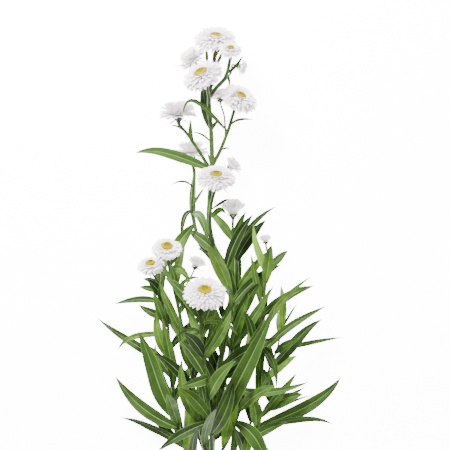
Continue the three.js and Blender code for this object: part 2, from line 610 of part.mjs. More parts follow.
// Radius and height of the core's rings, in an open bloom and in a closed one.
const CORE = [[5.2, 0.3], [6.2, 1.6], [6.3, 2.9], [5.9, 4.2], [5.1, CORE_TOP]];
const CLOSED_CORE = [[6.2, 0.6], [5.0, 1.8], [4.2, 3.0], [3.6, 4.2], [3.0, CORE_TOP]];
// Rows of rays from the outermost: how far they rise and curl in degrees, their reach as a share of the
// bloom's radius, and their width.
const ROWS = [
  { rise: 2, curl: -28, reach: 0.96, width: 4.6 },
  { rise: 22, curl: -36, reach: 0.96, width: 4.6 },
  { rise: 43, curl: -44, reach: 0.9, width: 4.4 },
  { rise: 65, curl: -48, reach: 0.64, width: 3.4 },
];
const FULL_ROWS = [
  { rise: 4, curl: -28, reach: 1, width: 4.8 },
  { rise: 28, curl: -26, reach: 1, width: 4.8 },
  { rise: 54, curl: -24, reach: 0.96, width: 4.6 },
  { rise: 78, curl: -20, reach: 0.9, width: 4.2 },
];
const RISE_WHEN_CLOSED = 80; // degrees from the plane that an open ray lies in
const WIDEST = 0.72; // share of a ray's length at which it is widest

// The white rays of a bloom, in rows that grow from the bands of its core.
function rays(bloom, index) {
  const at = bloomFrame(bloom);
  const k = bloom.radius / BLOOM_RADIUS;
  const profile = CORE.map(([radius, height], r) => {
    const [closedRadius, closedHeight] = CLOSED_CORE[r];
    const opened = lerp(radius, closedRadius, bloom.closed) * bloom.heart;
    return [opened * k, lerp(height, closedHeight, bloom.closed) * k];
  });
  const thick = Math.max(RAY_THICK * k ** 0.5, THINNEST_RAY);
  const flat = -thick / 3;
  const rows = bloom.full ? FULL_ROWS : ROWS;
  const spikes = rows.slice(0, bloom.rows).map((row, r) => (angle, i) => {
    const n = 1000 * index + 100 * r + i;
    const opened = row.rise + 8 * (draw(n, 1) - 0.5);
    const rise = degToRad(lerp(opened, RISE_WHEN_CLOSED + 2 * r, bloom.closed));
    const curl = degToRad(row.curl * (1 - bloom.closed));
    const radius = (profile[r][0] + profile[r + 1][0]) / 2;
    const height = (profile[r][1] + profile[r + 1][1]) / 2;
    const length = (bloom.radius * row.reach - radius * 0.8) * (0.93 + 0.12 * draw(n, 3));
    const room = (2 * Math.PI * (radius + length * WIDEST * Math.cos(rise))) / bloom.rays;
    const half = Math.min(row.width * k ** 0.5, 0.82 * room) / 2;
    const sway = (0.3 * Math.PI * (draw(n, 2) - 0.5) * (1 - bloom.closed)) / bloom.rays;
    const line = { radius, height, rise, curl, length };
    const point = (share, across, above) => strapPoint(at, angle + sway, line, share, across, above);
    return {
      ring: [point(WIDEST, -half, flat), point(WIDEST, half, flat), point(WIDEST, 0, flat + thick)],
      tip: point(1, 0, 0),
    };
  });
  return spiked(at, profile, bloom.rays, spikes);
}

// The disc: a low dome raised in small bumps, one for each group of florets.
const DISC = [[4.4, 0], [5.0, 0.9], [4.1, 1.9], [2.2, 2.4]];

function disc(bloom) {
  const at = bloomFrame(bloom);
  const k = bloom.radius / BLOOM_RADIUS;
  const width = k * bloom.heart * (1 - 0.3 * bloom.closed);
  const sides = 8;
  const rings = DISC.map(([radius, height], r) =>
    Array.from({ length: sides }, (_, i) => {
      const angle = (2 * Math.PI * (i + 0.5 * r)) / sides;
      const bump = r > 0 && i % 2 ? 0.4 : 0;
      const out = (radius + bump / 2) * width;
      return at(out * Math.cos(angle), out * Math.sin(angle), (CORE_TOP + height + bump) * k + GAP);
    }),
  );
  return loft([...rings, [at(0, 0, (CORE_TOP + 2.1) * k + GAP)]]);
}

// The green cup under a bloom, with its pointed bracts.
function cup(bloom, index) {
  const at = bloomFrame(bloom);
  const k = bloom.radius / BLOOM_RADIUS;
  const stalk = STEMS[bloom.stem].radius[1];
  const profile = [
    [stalk * 0.9, -6.5 * k],
    [3.0 * k + 0.4, -3.8 * k],
    [3.9 * k + 0.4, -1.4 * k - GAP],
    [2.9 * k, -GAP],
  ];
  const bracts = (angle, i) => {
    const n = 5000 + 100 * index + i;
    const rise = degToRad(-36 + 50 * bloom.closed + 16 * draw(n, 2));
    const length = (11 + 6 * draw(n, 3)) * k ** 0.6;
    const line = { radius: 3.6 * k, height: -2.6 * k, rise, curl: 0.2, length };
    return { tip: strapPoint(at, angle + 0.3 * (draw(n, 1) - 0.5), line, 1, 0, 0) };
  };
  return spiked(at, profile, bloom.radius > 10 ? 8 : 6, [null, bracts]);
}

const group = new THREE.Group();

function addMesh(name, shape, look) {
  const { numProp, vertProperties, triVerts } = shape.getMesh();
  if (numProp !== 3) throw new Error("positions only");
  const geometry = new THREE.BufferGeometry();
  geometry.setAttribute("position", new THREE.BufferAttribute(new Float32Array(vertProperties), 3));
  geometry.setIndex(new THREE.BufferAttribute(new Uint32Array(triVerts), 1));
  geometry.computeVertexNormals();
  const mesh = new THREE.Mesh(geometry, new THREE.MeshStandardMaterial(look));
  mesh.name = name;
  group.add(mesh);
}

const largest = (shape) => shape.decompose().reduce((best, s) => (s.volume() > best.volume() ? s : best));

// Stems, with each side stem cut back from the main stem that it leaves.
const trunk = tube("main", 8, GAP);
for (const [name, stem] of Object.entries(STEMS)) {
  const shape = tube(name, name === "main" ? 8 : 6);
  place(stem.node, name, stem.node === "main_stem" ? shape : largest(shape.subtract(trunk)));
}
BLOOMS.forEach((bloom, index) => {
  place(STEMS[bloom.stem].node, bloom.stem, cup(bloom, index));
  place(bloom.name + "_rays", "rays", rays(bloom, index));
  place(bloom.name + "_disc", "disc", disc(bloom));
});
LEAVES.forEach(leafSeenInView);
FOLIAGE.forEach((row, rowIndex) => {
  for (let i = 0; i < row.count; i++) leafByRule(row, rowIndex, i);
});

for (const node of new Set(placed.map((o) => o.node))) {
  const shapes = placed.filter((o) => o.node === node).map((o) => o.shape);
  const look = node.endsWith("_rays") ? WHITE : node.endsWith("_disc") ? YELLOW : GREEN;
  addMesh(node, shapes.length > 1 ? wasm.Manifold.union(shapes) : shapes[0], look);
}
group.position.set(...CENTRING);

export default group;
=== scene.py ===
"""The looks of a cut, branching stem of a white double aster that lies on a table.

Stems, midribs and blooms run through the same points as in the solids, and every leaf is found
again by the corners of its solid. Lengths are millimetres until a piece is made, then metres.
"""

import math
from collections import namedtuple

import bpy
import numpy as np
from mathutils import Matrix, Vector


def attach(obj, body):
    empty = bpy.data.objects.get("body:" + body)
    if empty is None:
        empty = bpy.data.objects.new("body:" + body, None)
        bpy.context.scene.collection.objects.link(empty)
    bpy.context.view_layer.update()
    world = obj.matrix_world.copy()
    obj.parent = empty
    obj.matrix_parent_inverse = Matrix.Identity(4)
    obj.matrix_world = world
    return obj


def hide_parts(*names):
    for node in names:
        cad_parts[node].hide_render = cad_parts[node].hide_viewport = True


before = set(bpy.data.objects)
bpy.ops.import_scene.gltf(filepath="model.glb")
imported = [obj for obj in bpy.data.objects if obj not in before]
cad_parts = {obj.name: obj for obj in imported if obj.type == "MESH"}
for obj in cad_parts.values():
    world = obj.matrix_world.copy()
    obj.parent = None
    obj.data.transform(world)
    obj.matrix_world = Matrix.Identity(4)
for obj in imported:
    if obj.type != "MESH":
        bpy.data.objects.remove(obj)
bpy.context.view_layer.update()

# Driving dimensions, as in the solids
MM = 0.001
CENTRING = np.array([-7.0, -172.0, 0.0])  # from the points below to the frame of the part
GAP = 0.35
LOWEST_MIDRIB = 0.6
BLADE_THICK = 1.1
BLADE_FOLD = 0.3
BLOOM_RADIUS = 19.0
CORE_TOP = 5.2
STEM_STEP = 20.0
GOLDEN_ANGLE = math.radians(137.5)

# How far a leaf may be raised and turned off its first course, in the order of choice
LIFTS = [0, 5, -5, 10, -10, 16, -16, 22, -22, 30, -30]
SMALL_LIFTS = LIFTS[:5]
TURNS = [0, 25, -25, 50, -50]
BEND_SHARE = 0.6

# Leaves placed by rule stand less far out of the plane of the stem, and are shorter higher up
FLATTENED = 0.7
SHORTER_ABOVE = 0.45
RULED_COURSE = [(0.28, 0.2, BEND_SHARE), (0.62, 0.66, 1), (0.8, 1.15, 1)]  # up, away and lifted

# The last place on a midrib where the solid's ridge has a corner, for leaves longer than so much,
# and how far the found course may miss the corners
LAST_RIDGE = [(60, 0.72), (20, 0.56), (0, 0.4)]
TIP_MISS = 0.05
WORST_MISS = 0.1
RIDGE_WEIGHT = 0.01

# Stems run on into their blooms through points so far below the seat
STALK_BELOW_SEAT = (7, 2)
TANGENT_STEP = 1e-4

# The finer form. A midrib's groove and keel have a depth and a share of the leaf's width.
LEAF_STEP = 3.2
LEAF_STEPS = (9, 26)
LEAF_THICK = 0.42
LEAF_THICK_BY_WIDTH = 0.012
GROOVE = (0.28, 0.07)
KEEL = (0.4, 0.1)
STALK_STEP = 2.5
STALK_RIBS = 6
STALK_RIB_DEPTH = 0.045
STALK_FLARE = 0.45
PITH_SHARES = [0.25, 0.6, 0.93, 0.93]
PITH_STANDS_OUT = 0.12
PITH_REACHES_IN = 0.4
BRACT_THICK = 0.32
RAY_THICK = 0.26

# The view: one pixel of the square picture is one millimetre at the height of the main stem
VIEW_WIDTH = 450.0
VIEW_MIDDLE = (6.0, 53.0)
VIEW_PLANE = 35.0
LENS = 150.0
SENSOR = 36.0

# Stems: the node, radii at root and tip, points of the centre line, and the stem that they leave
# where it isn't the main one.
Stem = namedtuple("Stem", "node radii points leaves", defaults=["main"])
STEMS = {
    "main": Stem("main_stem", (3, 1.9), [
        (0, -80, 3), (0, -40, 7), (0, 0, 15), (2, 40, 24), (7, 80, 30), (15, 120, 33),
        (19, 150, 34), (13, 182, 34), (1, 206, 34), (-3, 230, 34), (-2, 256, 33), (0, 285, 33),
        (-1, 320, 33), (-3, 350, 34), (0, 372, 33), (2, 388, 31),
    ]),
    "twig_2": Stem("main_stem", (1.9, 1.5), [(-2, 354, 34), (6, 364, 39), (14, 373, 48)]),
    "twig_2b": Stem("main_stem", (1.1, 0.8), [(-1, 360, 35), (11, 368, 30), (19, 378, 25)], "twig_2"),
    "twig_3": Stem("main_stem", (1.1, 0.9), [(0, 378, 37), (-5, 386, 34)]),
    "twig_4": Stem("main_stem", (1.6, 1.4), [(-3, 342, 34), (-3, 352, 42)]),
    "twig_6": Stem("main_stem", (1.8, 1.5), [(-1, 284, 33), (8, 299, 36), (16, 319, 38), (20, 332, 41)]),
    "twig_5": Stem("main_stem", (1, 0.8), [(13, 314, 36), (13, 326, 28), (12, 336, 21)], "twig_6"),
    "twig_7": Stem("main_stem", (1.7, 1.4), [(-1, 278, 33), (-13, 299, 35), (-24, 315, 37)]),
    "twig_9": Stem("main_stem", (1.7, 1.5), [(0, 208, 34), (-2, 226, 41), (-1, 244, 47)]),
    "twig_10": Stem("main_stem", (1, 0.8), [(-2, 252, 33), (6, 266, 25), (12, 276, 15)]),
    "upper_left": Stem("upper_left_stem", (2.2, 1.5), [
        (12, 184, 34), (0, 195, 29), (-11, 204, 24), (-16, 218, 20), (-20, 240, 17), (-19, 262, 16),
        (-18, 278, 15.5),
    ]),
    "left": Stem("left_stem", (2, 1.2), [
        (0, -30, 9), (-9, 5, 19), (-15, 40, 27), (-20, 72, 32), (-27, 108, 37), (-33, 140, 40),
        (-39, 166, 42), (-42, 180, 43),
    ]),
    "twig_16": Stem("left_stem", (1, 0.8), [(-34, 144, 38), (-30, 156, 28), (-24, 168, 19)], "left"),
    "left_outer": Stem("left_outer_stem", (1.9, 1.1), [
        (0, -58, 5), (-14, -32, 9), (-26, -6, 13), (-34, 22, 17), (-39, 52, 20), (-42, 85, 23),
        (-44, 120, 26), (-48, 150, 29), (-52, 164, 31),
    ]),
    "front": Stem("front_stem", (1.9, 1.2), [
        (0, -6, 13), (-1, 14, 28), (-3, 40, 41), (-6, 72, 50), (-9, 104, 56), (-11, 128, 59),
    ]),
    "right": Stem("right_stem", (1.9, 1.1), [
        (1, 22, 20), (8, 48, 21), (16, 80, 20), (23, 120, 20), (26, 160, 21), (24, 200, 22),
        (21, 220, 22),
    ]),
    "right_outer": Stem("right_outer_stem", (1.6, 0.9), [
        (0, -18, 11), (16, 8, 20), (28, 40, 27), (37, 78, 30), (45, 112, 31), (51, 142, 31),
        (53, 160, 31), (55, 174, 30), (58, 188, 29),
    ]),
    "far_right": Stem("far_right_stem", (1.5, 0.8), [
        (0, -44, 7), (18, -20, 12), (33, 8, 17), (44, 42, 20), (53, 66, 21), (59, 84, 22),
        (66, 102, 23), (70, 124, 24),
    ]),
    "low_right": Stem("low_right_stem", (1.6, 0.9), [
        (0, -66, 4), (16, -46, 8), (31, -18, 13), (41, 12, 17), (47, 26, 19), (54, 40, 21),
        (60, 52, 22),
    ]),
}

# Blooms: name, stem, seat, the way that it faces, radius, share that it is closed, how much wider
# than usual its disc is, whether it is full, with rays that stand up, and how dense, from 1 to 4.
Bloom = namedtuple("Bloom", "name stem seat face radius closed heart full density")
BLOOMS = [
    Bloom("bloom_01", "main", (3.5, 408.5, 35), (0.02, 0.86, 0.48), 20.5, 0, 1, False, 4),
    Bloom("bloom_02", "twig_2", (18.5, 396.5, 66), (0.02, 0.8, 0.6), 10.8, 0, 1, False, 3),
    Bloom("bloom_03", "twig_3", (-18.5, 390.5, 27), (-0.6, 0.7, 0.38), 13.5, 0.1, 1, True, 3),
    Bloom("bloom_04", "twig_4", (-8.5, 371, 58), (-0.38, 0.75, 0.54), 19.8, 0, 1.25, False, 4),
    Bloom("bloom_05", "twig_5", (8, 352, 17), (-0.15, 0.9, -0.1), 11.5, 0.3, 1, True, 2),
    Bloom("bloom_06", "twig_6", (26.5, 349, 51), (0.38, 0.74, 0.55), 18.3, 0, 1, False, 4),
    Bloom("bloom_07", "twig_7", (-33.7, 333, 38), (-0.06, 0.98, 0.14), 18, 0.1, 1, True, 4),
    Bloom("bloom_08", "upper_left", (-21, 295.6, 17.175), (-0.04, 0.98, 0.14), 16.5, 0.1, 1, True, 3),
    Bloom("bloom_09", "twig_9", (4.3, 270, 55), (0.03, 0.85, 0.52), 18.3, 0, 1.15, False, 4),
    Bloom("bloom_10", "twig_10", (18, 283, 14.075), (0.75, 0.66, 0.03), 11, 0.4, 1, True, 2),
    Bloom("bloom_11", "right", (21, 236, 22.5), (0, 0.98, 0.15), 15.5, 0.62, 1, True, 3),
    Bloom("bloom_12", "right_outer", (54, 208, 27), (-0.1, 0.97, 0.1), 8, 0.6, 1, True, 1),
    Bloom("bloom_13", "left", (-45, 200.5, 46), (0.04, 0.79, 0.61), 14.3, 0, 1.4, False, 3),
    Bloom("bloom_14", "left_outer", (-61, 183.3, 33), (-0.12, 0.85, 0.5), 13.3, 0, 1.3, False, 3),
    Bloom("bloom_15", "front", (-7, 156, 66), (0.03, 0.8, 0.6), 20.6, 0, 1.15, False, 4),
    Bloom("bloom_16", "twig_16", (-17, 183, 13), (0.36, 0.92, 0.05), 11, 0.5, 1, True, 2),
    Bloom("bloom_2b", "twig_2b", (27, 384.5, 21), (0.92, -0.25, -0.1), 8.5, 0.4, 1, True, 2),
]

# Leaves: stem, point near their root, two bends of the midrib, tip, width, and roll in degrees.
LEAVES = [
    ("main", (0, 281), (-24, 289, 36), (-52, 303, 34), (-76, 296, 26), 11, 14),
    ("twig_6", (15, 319), (-2, 335, 46), (-26, 368, 48), (-29, 331, 44), 4.6, 0),
    ("twig_6", (17, 322), (22, 332, 42), (32, 331, 42), (42, 330, 40), 2.8, 0),
    ("twig_7", (-24, 315), (-31, 323, 36), (-37, 326, 36), (-42, 324, 35), 2.2, 0),
    ("twig_7", (-18, 306), (-22, 311, 42), (-22, 320, 46), (-21, 331, 50), 4.6, 0),
    ("main", (-1, 306), (-6, 314, 38), (-12, 318, 34), (-20, 318, 30), 2.4, 0),
    ("main", (-1, 320), (-6, 334, 42), (-8, 352, 46), (-10, 372, 44), 10, -10),
    ("twig_6", (8, 299), (12, 302, 34), (15, 303, 33), (18, 301, 32), 2.2, 0),
    ("twig_2", (13, 376), (17, 374, 40), (18, 368, 40), (17, 361, 38), 2.8, 0),
    ("twig_3", (-6, 386), (-18, 383, 30), (-28, 387, 28), (-39, 385, 27), 2.2, 0),
    ("twig_3", (-5, 386), (-5, 391, 42), (-5, 396, 46), (-6, 402, 48), 3.4, 0),
    ("main", (1, 382), (7, 388, 42), (9, 393, 44), (11, 400, 46), 3.4, 0),
    ("twig_2", (14, 373), (22, 379, 48), (27, 385, 49), (31, 393, 50), 3.4, 0),
    ("upper_left", (-19, 262), (-24, 271, 19), (-33, 271, 18), (-42, 265, 16), 2.6, 0),
    ("upper_left", (-20, 238), (-27, 241, 26), (-31, 228, 28), (-30, 210, 26), 6, 20),
    ("upper_left", (-19, 234), (-14, 242, 44), (-7, 228, 46), (-4, 208, 45), 9, -12),
    ("upper_left", (-19, 226), (-22, 242, 24), (-20, 260, 24), (-17, 284, 22), 7, 0),
    ("upper_left", (-20, 242), (-17, 250, 26), (-12, 257, 30), (-7, 263, 32), 3, 0),
    ("twig_9", (2, 240), (8, 246, 46), (12, 250, 46), (17, 251, 44), 3, 0),
    ("right", (24, 200), (31, 215, 34), (44, 234, 38), (65, 244, 38), 5.6, 0),
    ("right", (25, 190), (19, 211, 34), (26, 224, 38), (34, 239, 38), 8.5, 10),
    ("right", (25, 146), (14, 170, 48), (10, 200, 52), (-15, 201, 48), 16, -18),
    ("right", (26, 152), (22, 175, 40), (20, 196, 42), (29, 218, 40), 14, 14),
    ("right", (26, 160), (36, 175, 30), (46, 188, 34), (56, 199, 36), 9, 0),
    ("right_outer", (55, 174), (50, 188, 38), (42, 202, 42), (41, 226, 42), 8.5, 24),
    ("right_outer", (50, 140), (46, 160, 36), (42, 178, 38), (39, 196, 38), 6.5, 0),
    ("right_outer", (44, 108), (56, 132, 42), (69, 155, 46), (99, 174, 42), 7, 16),
    ("far_right", (70, 122), (72, 135, 30), (71, 150, 34), (69, 165, 36), 8, 0),
    ("right_outer", (36, 76), (56, 114, 40), (86, 131, 42), (114, 144, 36), 8.5, -12),
    ("far_right", (58, 82), (74, 92, 26), (85, 117, 24), (111, 130, 18), 12, 18),
    ("far_right", (70, 118), (75, 130, 24), (80, 138, 22), (86, 146, 18), 2.6, 0),
    ("far_right", (65, 100), (84, 102, 18), (106, 109, 12), (133, 111, 8), 5, 0),
    ("right_outer", (43, 102), (54, 108, 40), (66, 90, 42), (64, 62, 37), 7, 0),
    ("far_right", (46, 48), (46, 70, 20), (50, 100, 18), (53, 124, 16), 8.5, 0),
    ("low_right", (50, 32), (56, 42, 28), (70, 57, 32), (85, 77, 32), 9, 10),
    ("right", (12, 64), (38, 54, 42), (63, 56, 46), (97, 69, 42), 8.5, -10),
    ("low_right", (56, 43), (66, 47, 20), (81, 54, 18), (94, 61, 14), 5, 0),
    ("low_right", (54, 40), (63, 33, 16), (83, 52, 12), (104, 52, 8), 2.8, 0),
    ("low_right", (44, 21), (75, 30, 3), (112, 42, 1.5), (131, 70, 0), 14, 0),
    ("low_right", (45, 22), (73, 25, 16), (100, 36, 12), (123, 22, 4), 7, 16),
    ("right_outer", (22, 26), (40, 22, 38), (50, 6, 34), (58, -25, 22), 16, 8),
    ("left_outer", (-42, 82), (-60, 95, 8), (-87, 105, 1.5), (-118, 131, 0), 9, 0),
    ("left_outer", (-44, 118), (-62, 112, 24), (-84, 120, 22), (-96, 98, 12), 6.5, 0),
    ("left_outer", (-47, 146), (-62, 153, 28), (-80, 151, 24), (-99, 145, 16), 7, 10),
    ("left_outer", (-45, 130), (-55, 135, 30), (-64, 138, 30), (-74, 145, 26), 8.5, 0),
    ("left_outer", (-50, 158), (-57, 161, 30), (-66, 162, 30), (-73, 163, 28), 6.5, 0),
    ("left_outer", (-52, 164), (-57, 169, 28), (-63, 170, 24), (-70, 171, 20), 6, 0),
    ("left_outer", (-36, 30), (-52, 46, 26), (-57, 85, 30), (-74, 119, 30), 18, -16),
    ("left_outer", (-34, 20), (-55, 28, 20), (-80, 42, 16), (-98, 72, 12), 13.5, 12),
    ("left_outer", (-29, 4), (-52, 22, 8), (-67, 38, 3), (-90, 55, 0), 8, 0),
    ("front", (-2, 28), (-22, 22, 44), (-37, 14, 44), (-54, -1, 36), 10, 10),
    ("front", (-6, 72), (0, 76, 58), (-16, 69, 62), (-31, 65, 58), 11.5, -14),
    ("main", (0, 12), (12, 44, 52), (36, 86, 60), (63, 146, 56), 19, 6),
    ("right", (14, 72), (28, 80, 36), (40, 98, 42), (52, 132, 44), 14, -6),
    ("right", (20, 104), (33, 116, 34), (43, 137, 42), (62, 165, 44), 10, -8),
    ("front", (-11, 128), (0, 134, 66), (14, 133, 66), (26, 116, 62), 7.5, -12),
    ("left", (-26, 104), (-29, 118, 50), (-18, 119, 54), (-12, 99, 50), 7, 0),
    ("left", (-19, 68), (-17, 78, 44), (-15, 88, 46), (-15, 97, 46), 8, 20),
    ("front", (-10, 118), (-18, 125, 58), (-26, 124, 58), (-36, 113, 54), 3.4, 0),
    ("front", (-10, 112), (-17, 126, 52), (-25, 118, 50), (-34, 103, 46), 5.4, 0),
    ("left", (-38, 162), (-41, 170, 46), (-44, 178, 48), (-50, 186, 44), 5, 0),
    ("left", (-28, 112), (-37, 132, 46), (-46, 150, 48), (-52, 168, 46), 8.5, 10),
    ("left_outer", (-40, 62), (-37, 80, 32), (-45, 105, 36), (-50, 132, 36), 11, 8),
    ("left", (-22, 82), (-28, 92, 44), (-30, 112, 46), (-33, 132, 48), 7.5, -10),
    ("left", (-35, 148), (-32, 164, 48), (-26, 152, 50), (-29, 138, 48), 8, 0),
    ("main", (2, 112), (8, 128, 42), (14, 142, 48), (26, 157, 50), 6.4, 0),
    ("main", (2, 96), (6, 112, 46), (12, 130, 54), (20, 150, 56), 7, 12),
    ("main", (3, 128), (6, 140, 44), (8, 152, 48), (13, 164, 50), 6, 0),
    ("front", (-9, 100), (2, 108, 62), (4, 122, 64), (12, 136, 64), 7, 8),
    ("main", (-2, 232), (6, 240, 40), (9, 244, 42), (14, 236, 40), 6, 0),
    ("left", (-13, 26), (-22, 42, 40), (-34, 60, 44), (-30, 92, 42), 12, 10),
    ("main", (0, 20), (-12, 30, 12), (-24, 48, 14), (-28, 78, 12), 13, -8),
    ("main", (0, 8), (12, 22, 10), (24, 38, 8), (30, 68, 8), 14, 8),
    ("front", (-1, 14), (8, 26, 44), (18, 44, 50), (22, 72, 48), 12, -6),
    ("left_outer", (-28, 2), (-36, 20, 8), (-44, 44, 8), (-40, 74, 6), 12, 12),
    ("left_outer", (-20, -18), (-25, 2, 20), (-21, 24, 24), (-27, 50, 24), 12, 0),
    ("right", (5, 38), (18, 48, 30), (30, 66, 32), (35, 96, 30), 12, 6),
    ("right", (17, 84), (22, 98, 12), (26, 114, 10), (38, 138, 12), 11, -8),
    ("right_outer", (12, 0), (14, 18, 32), (22, 38, 36), (26, 64, 36), 12, 0),
    ("left_outer", (-42, 90), (-51, 104, 36), (-58, 118, 40), (-55, 144, 38), 10, 0),
    ("left_outer", (-38, 46), (-49, 60, 34), (-60, 78, 38), (-57, 106, 38), 11, 10),
    ("low_right", (18, -42), (27, -24, 22), (38, -6, 26), (36, 24, 26), 12, 0),
    ("left", (-41, 177), (-36, 188, 50), (-28, 182, 52), (-20, 165, 48), 8, 0),
    ("left", (-37, 156), (-35, 166, 52), (-37, 178, 54), (-43, 190, 52), 6.5, 0),
    ("left", (-32, 136), (-27, 148, 50), (-26, 158, 52), (-31, 172, 50), 6.5, 0),
    ("left_outer", (-47, 146), (-53, 152, 38), (-52, 164, 40), (-45, 177, 40), 6.5, 0),
    ("left_outer", (-44, 122), (-51, 132, 40), (-54, 146, 42), (-59, 160, 42), 8, 0),
    ("left", (-24, 98), (-20, 112, 48), (-18, 128, 50), (-24, 146, 48), 8, 0),
    ("left", (-36, 154), (-33, 166, 50), (-25, 175, 50), (-11, 173, 44), 4, 0),
    ("front", (-9, 104), (-13, 118, 50), (-21, 136, 44), (-29, 149, 38), 8, 0),
    ("front", (-8, 96), (-1, 110, 50), (5, 126, 46), (0, 142, 38), 9, 0),
    ("front", (-8, 92), (3, 108, 52), (14, 122, 48), (19, 142, 42), 9, 8),
    ("right", (24, 122), (17, 136, 28), (19, 152, 34), (28, 168, 32), 10, 0),
    ("right", (20, 100), (22, 116, 40), (28, 132, 44), (37, 158, 44), 10, 10),
    ("right_outer", (38, 86), (42, 104, 44), (47, 128, 48), (58, 162, 48), 11, 0),
]

# Leaves placed by rule: stem, first and last share of its length, number, length and width.
FOLIAGE = [
    ("main", 0.09, 0.44, 11, 72, 13),
    ("main", 0.64, 0.9, 5, 26, 4),
    ("left", 0.1, 0.8, 9, 62, 11.5),
    ("left_outer", 0.14, 0.78, 9, 56, 10.5),
    ("front", 0.14, 0.92, 9, 60, 12),
    ("right", 0.1, 0.66, 9, 64, 11.5),
    ("right_outer", 0.1, 0.74, 8, 56, 10),
    ("far_right", 0.14, 0.92, 8, 52, 9),
    ("low_right", 0.14, 0.94, 8, 54, 11),
]


def draw(n, k):
    """A number from 0 to 1 that is always the same for the same two whole numbers."""
    v = math.sin(n * 12.9898 + k * 78.233) * 43758.5453
    return v - math.floor(v)


def varied(n, k):
    """A factor near 1, drawn the same way."""
    return 0.8 + 0.4 * draw(n, k)


def lerp(a, b, t):
    return a + (b - a) * t


def smooth(low, high, x):
    """0 below low, 1 above high, and a soft step between them."""
    t = np.clip((x - low) / (high - low), 0, 1)
    return t * t * (3 - 2 * t)


def in_steps(count):
    """Shares from 0 to 1 in as many equal steps."""
    return np.arange(count + 1) / count


def unit(v):
    return v / np.linalg.norm(v, axis=-1, keepdims=True)


def column(values):
    return np.atleast_1d(np.asarray(values, float))[:, None]


def stacked(*values):
    """Values of one grid of points, side by side for each point."""
    return np.stack(np.broadcast_arrays(*values), -1)


# Curves


def catmull_rom(points):
    """A smooth curve through points, as a function of shares from 0 to 1."""
    p = np.array(points, float)
    p = np.vstack([2 * p[0] - p[1], p, 2 * p[-1] - p[-2]])

    def curve(t):
        at = np.clip(np.atleast_1d(t), 0, 1) * (len(p) - 3)
        i = np.minimum(at.astype(int), len(p) - 4)
        w = column(at - i)
        before, start, end, after = p[i], p[i + 1], p[i + 2], p[i + 3]
        leave, arrive = (end - before) / 2, (after - start) / 2
        bend = 3 * (end - start) - 2 * leave - arrive
        return start + leave * w + bend * w**2 + (2 * (start - end) + leave + arrive) * w**3

    return curve


def bezier(points):
    a, b, c, d = np.array(points, float)

    def curve(t):
        t = column(t)
        return (1 - t) ** 3 * a + 3 * (1 - t) ** 2 * t * b + 3 * (1 - t) * t**2 * c + t**3 * d

    return curve


def tangents(curve, t):
    t = np.atleast_1d(np.asarray(t, float))
    return unit(curve(np.minimum(t + TANGENT_STEP, 1)) - curve(np.maximum(t - TANGENT_STEP, 0)))


def length_of(curve):
    return np.linalg.norm(np.diff(curve(in_steps(200)), axis=0), axis=1).sum()


def frames(tangent, roll=0.0):
    """Sides and normals of something that runs along tangents and faces up, rolled about them."""
    side = np.cross([0, 0, 1], tangent)
    side[np.linalg.norm(side, axis=-1) < 0.05] = [1, 0, 0]
    side = unit(side)
    roll = column(np.broadcast_to(roll, len(side)))
    side = side * np.cos(roll) + np.cross(tangent, side) * np.sin(roll)
    return side, unit(np.cross(tangent, side))


def sections(centres, side, normal, out, up):
    """Rings of points that lie so far out and up from each centre."""
    return centres[:, None] + side[:, None] * out[..., None] + normal[:, None] * up[..., None]


def on_axis(name, t):
    """Points at shares of a stem's axis, which runs straight from point to point."""
    axis = axes[name]
    at = np.atleast_1d(t) * (len(axis) - 1)
    i = np.minimum(at.astype(int), len(axis) - 2)
    return axis[i] + (axis[i + 1] - axis[i]) * column(at - i)


def nearest_on(name, x, y):
    """The point of a stem's axis that is nearest when seen from above."""
    points = on_axis(name, in_steps(240))
    return points[np.argmin(np.hypot(points[:, 0] - x, points[:, 1] - y))]


lines, axes = {}, {}
for stem_name, stem in STEMS.items():
    course = [np.array(p, float) for p in stem.points]
    if stem_name != "main":
        course[0] = nearest_on(stem.leaves, *course[0][:2])
    for bloom in BLOOMS:
        if bloom.stem == stem_name:
            facing = unit(np.array(bloom.face, float))
            course += [np.array(bloom.seat) - below * facing for below in STALK_BELOW_SEAT]
    lines[stem_name] = catmull_rom(course)
    steps = max(3, int(length_of(lines[stem_name]) / STEM_STEP + 0.5))
    axes[stem_name] = lines[stem_name](in_steps(steps))


# Leaves: which of the ways to bend them the solids have


def corners_of(node):
    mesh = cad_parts[node].data
    flat = np.zeros(3 * len(mesh.vertices))
    mesh.vertices.foreach_get("co", flat)
    return flat.reshape(-1, 3) / MM - CENTRING


node_corners = {stem.node: corners_of(stem.node) for stem in STEMS.values()}


def kept_course(stem_name, roll, courses):
    """The course whose tip and last ridge point are corners of the solid, or None."""
    corners = node_corners[STEMS[stem_name].node]

    def miss(point):
        return np.linalg.norm(corners - point, axis=1).min()

    best = (WORST_MISS, None)
    for course in courses:
        off_tip = miss(course[3])
        if off_tip > TIP_MISS:
            continue
        curve = bezier(course)
        length = length_of(curve)
        last = next(share for longer_than, share in LAST_RIDGE if length > longer_than)
        _, normal = frames(tangents(curve, last), roll)
        off_ridge = miss(curve(last)[0] + normal[0] * BLADE_THICK / 2)
        best = min(best, (off_tip + RIDGE_WEIGHT * off_ridge, course), key=lambda found: found[0])
    return best[1]


def raised(point, lift, lowest=LOWEST_MIDRIB):
    return np.array([point[0], point[1], max(point[2] + lift, lowest)])


def leaves_seen():
    for stem_name, root, bend1, bend2, tip, width, roll in LEAVES:
        start = nearest_on(stem_name, *root)
        courses = [
            [start, raised(bend1, BEND_SHARE * lift), raised(bend2, lift), raised(tip, lift, 0)]
            for lift in LIFTS
        ]
        course = kept_course(stem_name, math.radians(roll), courses)
        if course is not None:
            yield stem_name, course, width, math.radians(roll)


